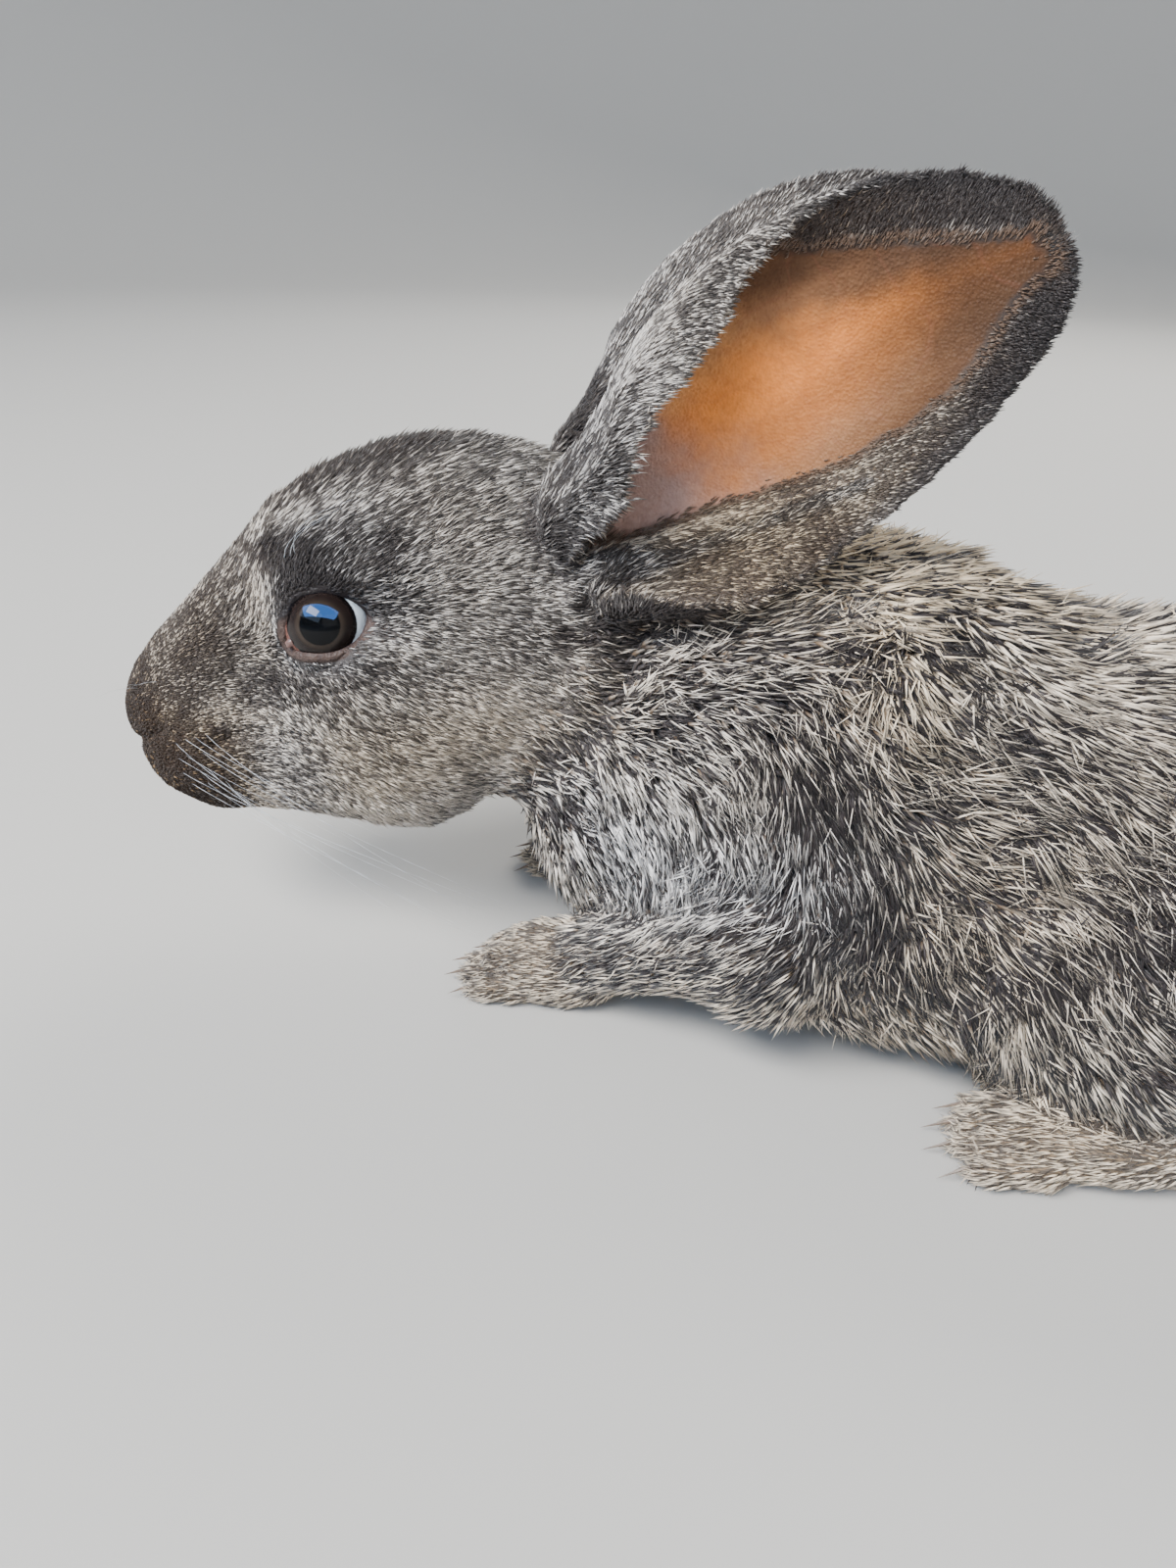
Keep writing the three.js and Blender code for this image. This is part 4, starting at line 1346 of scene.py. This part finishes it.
    for key, values in {"tone": tone, "warm": field["warm"] + softNoise(roots, 25 * mm, 77) * 0.15,
                        "shade": shade, "soft": field["soft"], "bare": field["bare"] * field["earShare"]}.items():
        storeField(mesh, key, np.repeat(values, each))
    storeField(mesh, "root", np.repeat(roots, each, axis=0))
    storeField(mesh, "along", np.tile(np.array(along, float), count))
    spread = unwrapRoots(roots, parts, field["earAlong"], field["earAcross"], field["earInside"])
    u, v = patchPlaces(*spread, count)
    places = np.stack([u, v], axis=1)[:, None, :] * (1 - 0.004) + 0.002 + (np.array(patch) - 0.5) * 0.003
    layer = mesh.uv_layers.new(name="OFBake")
    layer.data.foreach_set("uv", places.reshape(-1, 2)[faces.ravel()].astype(np.float32).ravel())
    mesh.shade_smooth()
    piece = newPiece(name, mesh)
    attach(piece, "root")
    return piece


def density(count, corners):  # hairs per square mm over the piece
    mask = np.zeros(len(skinPoints), bool)
    mask[corners[:, 0]] = True
    area = doubleAreas(skinTriangles[mask[skinTriangles[:, 0]]]).sum() / 2
    return count / (area / mm ** 2)


coats = [growCoat(name, 100 + 50 * index) for index, name in enumerate(coatPieces)]
print("coat: grown,", sum(len(piece.data.polygons) for piece in coats), "triangles")


# materials

def feed(tree, node, inputs):  # links or sets a node's inputs
    for key, value in inputs.items():
        if isinstance(value, bpy.types.NodeSocket):
            tree.links.new(value, node.inputs[key])
        else:
            node.inputs[key].default_value = value
    return node


def place(tree, kind, inputs=None, **settings):
    node = tree.nodes.new("ShaderNode" + kind)
    for name, value in settings.items():
        setattr(node, name, value)
    return feed(tree, node, inputs or {})


def mixPaint(tree, share, first, second, blend="MIX"):
    return place(tree, "Mix", {0: share, 6: first, 7: second}, data_type="RGBA", blend_type=blend).outputs[2]


def sums(tree, operation, first, second=0.0, third=0.0):
    return place(tree, "Math", {0: first, 1: second, 2: third}, operation=operation).outputs[0]


def rescale(tree, value, low, high, first=0.0, last=1.0):
    inputs = {0: value, 1: low, 2: high, 3: first, 4: last}
    return place(tree, "MapRange", inputs, interpolation_type="SMOOTHSTEP").outputs[0]


def attribute(tree, name, output="Fac"):
    return place(tree, "Attribute", attribute_name=name).outputs[output]


def objectSpot(tree):
    return place(tree, "TexCoord").outputs["Object"]


def noise(tree, spot, size, detail, **more):
    return place(tree, "TexNoise", {"Vector": spot, "Scale": size, "Detail": detail, **more}).outputs["Fac"]


def bump(tree, height, strength, distance):
    return place(tree, "Bump", {"Height": height, "Strength": strength, "Distance": distance}).outputs[0]


def brushes(tree, colours, given=None):  # short ways to mix named colours, and to rescale a marking or a value
    def mix(share, first, second, blend="MIX"):
        first, second = (colours[colour] if isinstance(colour, str) else colour for colour in (first, second))
        return mixPaint(tree, share, first, second, blend)

    def span(value, low, high, first=0.0, last=1.0):
        if isinstance(value, str):
            value = attribute(tree, value) if given is None else given[value]
        return rescale(tree, value, low, high, first, last)

    return mix, span


def newPaint(name):
    paint = bpy.data.materials.new(name)
    paint.use_nodes = True
    tree = paint.node_tree
    tree.nodes.clear()
    body = place(tree, "BsdfPrincipled")
    place(tree, "OutputMaterial", {0: body.outputs[0]})
    return paint, tree, body


def newGroup(name, inputs, outputs):
    group = bpy.data.node_groups.new(name, "ShaderNodeTree")
    for way, sockets in (("INPUT", inputs), ("OUTPUT", outputs)):
        for title, kind in sockets.items():
            group.interface.new_socket(title, in_out=way, socket_type="NodeSocket" + kind)
    return group, group.nodes.new("NodeGroupInput").outputs, group.nodes.new("NodeGroupOutput")


def useGroup(tree, group, inputs):
    return place(tree, "Group", inputs, node_tree=group).outputs


coatPaint = palette(
    root=(42, 38, 42), shaft=(62, 55, 55), tipCool=(252, 248, 246), tipWarm=(255, 232, 198), tipDark=(34, 30, 31),
    tan=(158, 126, 88), dusk=(50, 45, 45), duskWarm=(90, 68, 46), mist=(176, 171, 167), mistWarm=(196, 176, 148),
    inner=(98, 76, 60))


def makeCoatMarkings():  # one hair's colour, from its marking, its own shade and the place along it
    floats = dict.fromkeys(("Tone", "Warm", "Shade", "Along", "Soft"), "Float")
    group, given, result = newGroup("coat markings", floats, {"Color": "Color"})
    mix, span = brushes(group, coatPaint, given)
    level = sums(group, "MULTIPLY_ADD", given["Tone"], 0.45, 0.24)
    isPale = span(sums(group, "SUBTRACT", level, given["Shade"]), -0.2, 0.16)
    tip = mix(span("Warm", 0, 1), "tipCool", "tipWarm")
    dull = mix(span("Warm", 0.2, 1), "shaft", "tan")
    tip = mix(span("Tone", -0.25, -0.8, 0, 0.9), tip, dull)
    shaft = mix(span("Along", 0, 0.45), "root", "shaft")
    shaft = mix(span("Tone", 0, -0.9, 0, 0.75), shaft, "tipDark")
    darkTip = mix(span("Shade", 0, 1, 0, 0.7), "tipDark", "shaft")
    dark = mix(span("Along", 0.1, 0.7), shaft, darkTip)
    band = mix(sums(group, "MULTIPLY", given["Warm"], 0.8), shaft, "tan")
    pale = mix(span("Along", 0.05, 0.25), shaft, band)
    pale = mix(span("Along", 0.2, 0.5), pale, tip)
    warm = span("Warm", 0.1, 1)
    plain = mix(span("Tone", -0.85, 0.7), mix(warm, "dusk", "duskWarm"), mix(warm, "mist", "mistWarm"))
    soft = sums(group, "MULTIPLY", given["Soft"], 0.34)
    feed(group, result, {"Color": mix(soft, mix(isPale, dark, pale), plain)})
    return group


def makeCombed():  # fine streaks that follow the lie of the coat
    group, given, result = newGroup("combed streaks", {"Lie": "Vector", "Size": "Float"}, {"Streak": "Float"})

    def vectors(operation, inputs):
        return place(group, "VectorMath", inputs, operation=operation).outputs

    spot = objectSpot(group)
    lie = vectors("NORMALIZE", {0: given["Lie"]})[0]
    share = vectors("DOT_PRODUCT", {0: spot, 1: lie})["Value"]
    part = vectors("SCALE", {0: lie, "Scale": sums(group, "MULTIPLY", share, 0.88)})[0]
    flat = vectors("SUBTRACT", {0: spot, 1: part})[0]
    feed(group, result, {"Streak": noise(group, flat, given["Size"], 3, Roughness=0.6)})
    return group


coatMarkings = makeCoatMarkings()
combed = makeCombed()


def coatColour(tree, shade, along):
    given = {name: attribute(tree, name.lower()) for name in ("Tone", "Warm", "Soft")}
    return useGroup(tree, coatMarkings, {**given, "Shade": shade, "Along": along})["Color"]


def hairPaint():
    paint, tree, body = newPaint("coat hair")
    mix, span = brushes(tree, coatPaint)
    colour = coatColour(tree, attribute(tree, "shade"), attribute(tree, "along"))
    feed(tree, body, {"Base Color": mix(span("bare", 0, 0.3, 0, 0.85), colour, "inner"), "Roughness": 0.5,
                      "Specular IOR Level": 0.35, "Sheen Weight": 0.15, "Sheen Roughness": 0.4})
    return paint


# painted light: the brightest orange and the lit colour stand for light shining through the thin ear
earPaint = palette(  # an ear's hollow
    rear=(160, 114, 80), middle=(194, 122, 68), bright=(240, 146, 70), front=(152, 108, 76), lit=(255, 190, 120),
    notch=(178, 148, 138), tip=(72, 52, 38), vein=(150, 92, 74))
# over is painted shade on the upper lid and in the nostrils and mouth; the other two are the bare lid's own
# colours
lidPaint = palette(under=(76, 60, 54), flush=(102, 84, 77), over=(34, 29, 30))


def hollowColour(tree, spot):
    mix, span = brushes(tree, earPaint)
    drift = sums(tree, "SUBTRACT", noise(tree, spot, 60, 4), 0.5)
    share = sums(tree, "MULTIPLY_ADD", drift, 0.35, attribute(tree, "earAlong"))
    turn = sums(tree, "MULTIPLY_ADD", drift, 0.16, attribute(tree, "earTurn"))
    colour = mix(span(turn, -0.14, 0), "rear", "middle")
    # painted light shining through the thin ear, on its front half
    colour = mix(sums(tree, "MULTIPLY", span(turn, 0, 0.1), span(share, 0.22, 0.5, 0.25, 1)), colour, "bright")
    bow = sums(tree, "ADD", turn, span(share, 0.25, 0.8, -0.1, 0.06))
    # near the front margin: painted light shining through low down, the ear's front colour higher up
    colour = mix(span(bow, 0.14, 0.32), colour, mix(span(share, 0.3, 0.62), "lit", "front"))
    colour = mix(span(share, 0.5, 0.26), colour, "notch")
    rim = sums(tree, "MULTIPLY", span("earEdge", 21, 7), span(share, 0.4, 0.65))
    tip = sums(tree, "MAXIMUM", span(share, 0.55, 0.86, 0, 0.92), sums(tree, "MULTIPLY", rim, 0.8))
    colour = mix(tip, colour, "tip")
    grain = noise(tree, spot, 900, 5)
    colour = mix(span(grain, 0.3, 0.75, 0, 0.22), colour, "vein", "MULTIPLY")
    thread = sums(tree, "SUBTRACT", noise(tree, spot, 55, 2, Distortion=0.6), 0.5)
    return mix(span(sums(tree, "ABSOLUTE", thread), 0, 0.02, 0.1, 0), colour, "vein"), grain


def skinPaint():
    paint, tree, body = newPaint("skin and short fur")
    mix, span = brushes(tree, lidPaint)
    streak = useGroup(tree, combed, {"Lie": attribute(tree, "lie", "Vector"), "Size": 2600})["Streak"]
    fur = coatColour(tree, span(streak, 0.35, 0.65), 0.25)
    spot = objectSpot(tree)
    hollow, grain = hollowColour(tree, spot)
    lid = mix(span(grain, 0.3, 0.7), "under", "flush")
    # towards the darkest lid colour where the tone is low: painted shade on the upper lid and in the nostrils and
    # mouth
    lid = mix(span("tone", 0, -0.45), lid, "over")
    bare = span("bare", 0.2, 0.8)
    fine = place(tree, "TexVoronoi", {"Vector": spot, "Scale": 1800}).outputs["Distance"]
    height = place(tree, "Mix", {0: bare, 2: streak, 3: fine}, data_type="FLOAT").outputs[0]
    feed(tree, body, {"Base Color": mix(bare, fur, mix(attribute(tree, "earHollow"), lid, hollow)),
                      "Roughness": span(bare, 0, 1, 0.75, 0.48), "Normal": bump(tree, height, 0.5, 0.0004),
                      "Specular IOR Level": span("earHollow", 0, 1, 0.3, 0.1)})
    return paint


eyePaint = palette(pupil=(2, 3, 5), ring=(44, 37, 32), iris=(25, 19, 18), rim=(12, 10, 11), white=(214, 228, 240),
                   corner=(96, 66, 60))


def eyeballPaint():
    paint, tree, body = newPaint("eye")
    mix, span = brushes(tree, eyePaint)
    fibre = sums(tree, "SUBTRACT", noise(tree, objectSpot(tree), 1400, 3), 0.5)
    rough = sums(tree, "MULTIPLY_ADD", fibre, 0.03, attribute(tree, "ring"))
    colour = mix(span(rough, 0.41, 0.46), "pupil", "ring")
    colour = mix(span(rough, 0.46, 0.58), colour, "iris")
    colour = mix(span(rough, 0.66, 0.75), colour, "rim")
    colour = mix(span(rough, 0.765, 0.8), colour, mix(span("rearward", -0.1, 0.3), "corner", "white"))
    feed(tree, body, {"Base Color": colour, "Roughness": 0.25, "Specular IOR Level": 0, "Coat Weight": 1,
                      "Coat Roughness": 0.01, "Coat IOR": 1.28})
    return paint


def grainPaint(name, size, detail, first, last, rough, sharp=False):  # two colours in a fine grain
    paint, tree, body = newPaint(name)
    grain = noise(tree, objectSpot(tree), size, detail)
    share = rescale(tree, grain, 0.35, 0.65) if sharp else grain
    feed(tree, body, {"Base Color": mixPaint(tree, share, toPaint(*first), toPaint(*last)), "Roughness": rough})
    return paint, tree, body, grain


def clawPaint():
    paint, tree, body, grain = grainPaint("claw", 700, 4, (74, 62, 54), (150, 130, 112), 0.38)
    feed(tree, body, {"Normal": bump(tree, grain, 0.3, 0.0002)})
    return paint


def dress(pieces, paint):
    for piece in pieces:
        piece.data.materials.clear()
        piece.data.materials.append(paint)


dress(coats, hairPaint())
dress([skin], skinPaint())
dress(eyeballs, eyeballPaint())
dress(tearCorners, grainPaint("tear corner", 1500, 3, (92, 64, 58), (128, 102, 96), 0.2)[0])
dress(whiskers, grainPaint("whisker", 300, 2, (150, 154, 160), (226, 230, 236), 0.3, True)[0])
dress(lashes, grainPaint("lash", 300, 2, (26, 23, 23), (60, 54, 52), 0.3, True)[0])
dress([cadNodes[name] for name in cadNodes if "_claw_" in name], clawPaint())
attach(skin, "root")
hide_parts(*fleshNodes)
print("materials: done")


# floor and light

studio = {
    "floor": 1.6,  # radius of the flat floor, metres
    "curve": 1.0,
    "wall": 3.0,
    "colour": (196, 194, 190),
    "key": ((-0.5, -0.85, 1.2), (0.9, 0.5), 40, (1, 0.96, 0.89)),  # place, size, watts and colour
    "sky": ((-0.85, -1.45, 1.5), (2.8, 1.2), 42, (0.48, 0.68, 1)),
    "fill": ((0.9, -1.1, 0.8), (1.2, 1.0), 3, (0.93, 0.96, 1)),
    "back": ((0.4, 1.1, 1.0), (1.4, 0.8), 20, (1, 0.97, 0.92)),
    "eyeSky": ((0, 1.1, 1.78), (4.8, 1.4), 640, (0.1, 0.33, 1), (-0.1, 0, 0.08)),  # the same, with what it faces
    "world": (toPaint(226, 228, 230), 0.34),
}


def addStage():  # a round floor that sweeps up into a wall
    bm = bmesh.new()
    flat, curve = studio["floor"], studio["curve"]
    turns = [math.radians(90 * step / 12) for step in range(1, 13)]
    profile = [(0.001, 0), (flat, 0)]
    profile += [(flat + curve * math.sin(turn), curve * (1 - math.cos(turn))) for turn in turns]
    profile.append((flat + curve, studio["wall"]))
    verts = [bm.verts.new((radius, 0, height)) for radius, height in profile]
    edges = [bm.edges.new(pair) for pair in zip(verts, verts[1:])]
    bmesh.ops.spin(bm, geom=verts + edges, cent=(0, 0, 0), axis=(0, 0, 1), angle=math.tau, steps=96,
                   use_merge=True)
    bmesh.ops.contextual_create(bm, geom=[e for e in bm.edges if e.is_boundary and e.verts[0].co.z < 0.5])
    bmesh.ops.recalc_face_normals(bm, faces=bm.faces)
    if bm.faces[0].normal.z < 0:
        bmesh.ops.reverse_faces(bm, faces=bm.faces)
    floor = shapedPiece("floor", bm, True)
    paint, tree, body = newPaint("floor")
    feed(tree, body, {"Base Color": toPaint(*studio["colour"]), "Roughness": 0.8})
    dress([floor], paint)


def addLight(name, at, size, power, colour, target=(0, 0, 0.05)):
    data = bpy.data.lights.new(name, "AREA")
    data.shape = "RECTANGLE"
    data.size, data.size_y = size
    data.energy = power
    data.color = colour
    lamp = bpy.data.objects.new(name, data)
    lamp.location = at
    lamp.rotation_mode = "QUATERNION"
    lamp.rotation_quaternion = (Vector(target) - Vector(at)).to_track_quat("-Z", "Y")
    scene.collection.objects.link(lamp)
    return lamp


def addEyeSky():  # broad blue panels that only the eyes mirror
    wet = bpy.data.collections.new("eyes")
    for piece in eyeballs:
        wet.objects.link(piece)
    (x, y, z), *rest = studio["eyeSky"]
    for side, across in sides.items():
        lamp = addLight(side + "_sky", (x, y * across, z), *rest)
        lamp.light_linking.receiver_collection = wet
        lamp.visible_diffuse = lamp.visible_camera = lamp.visible_transmission = False


addStage()
for name in ("key", "sky", "fill", "back"):
    addLight(name, *studio[name])
addEyeSky()
world = bpy.data.worlds.new("studio")
world.use_nodes = True
feed(world.node_tree, world.node_tree.nodes["Background"], dict(zip(("Color", "Strength"), studio["world"])))
scene.world = world
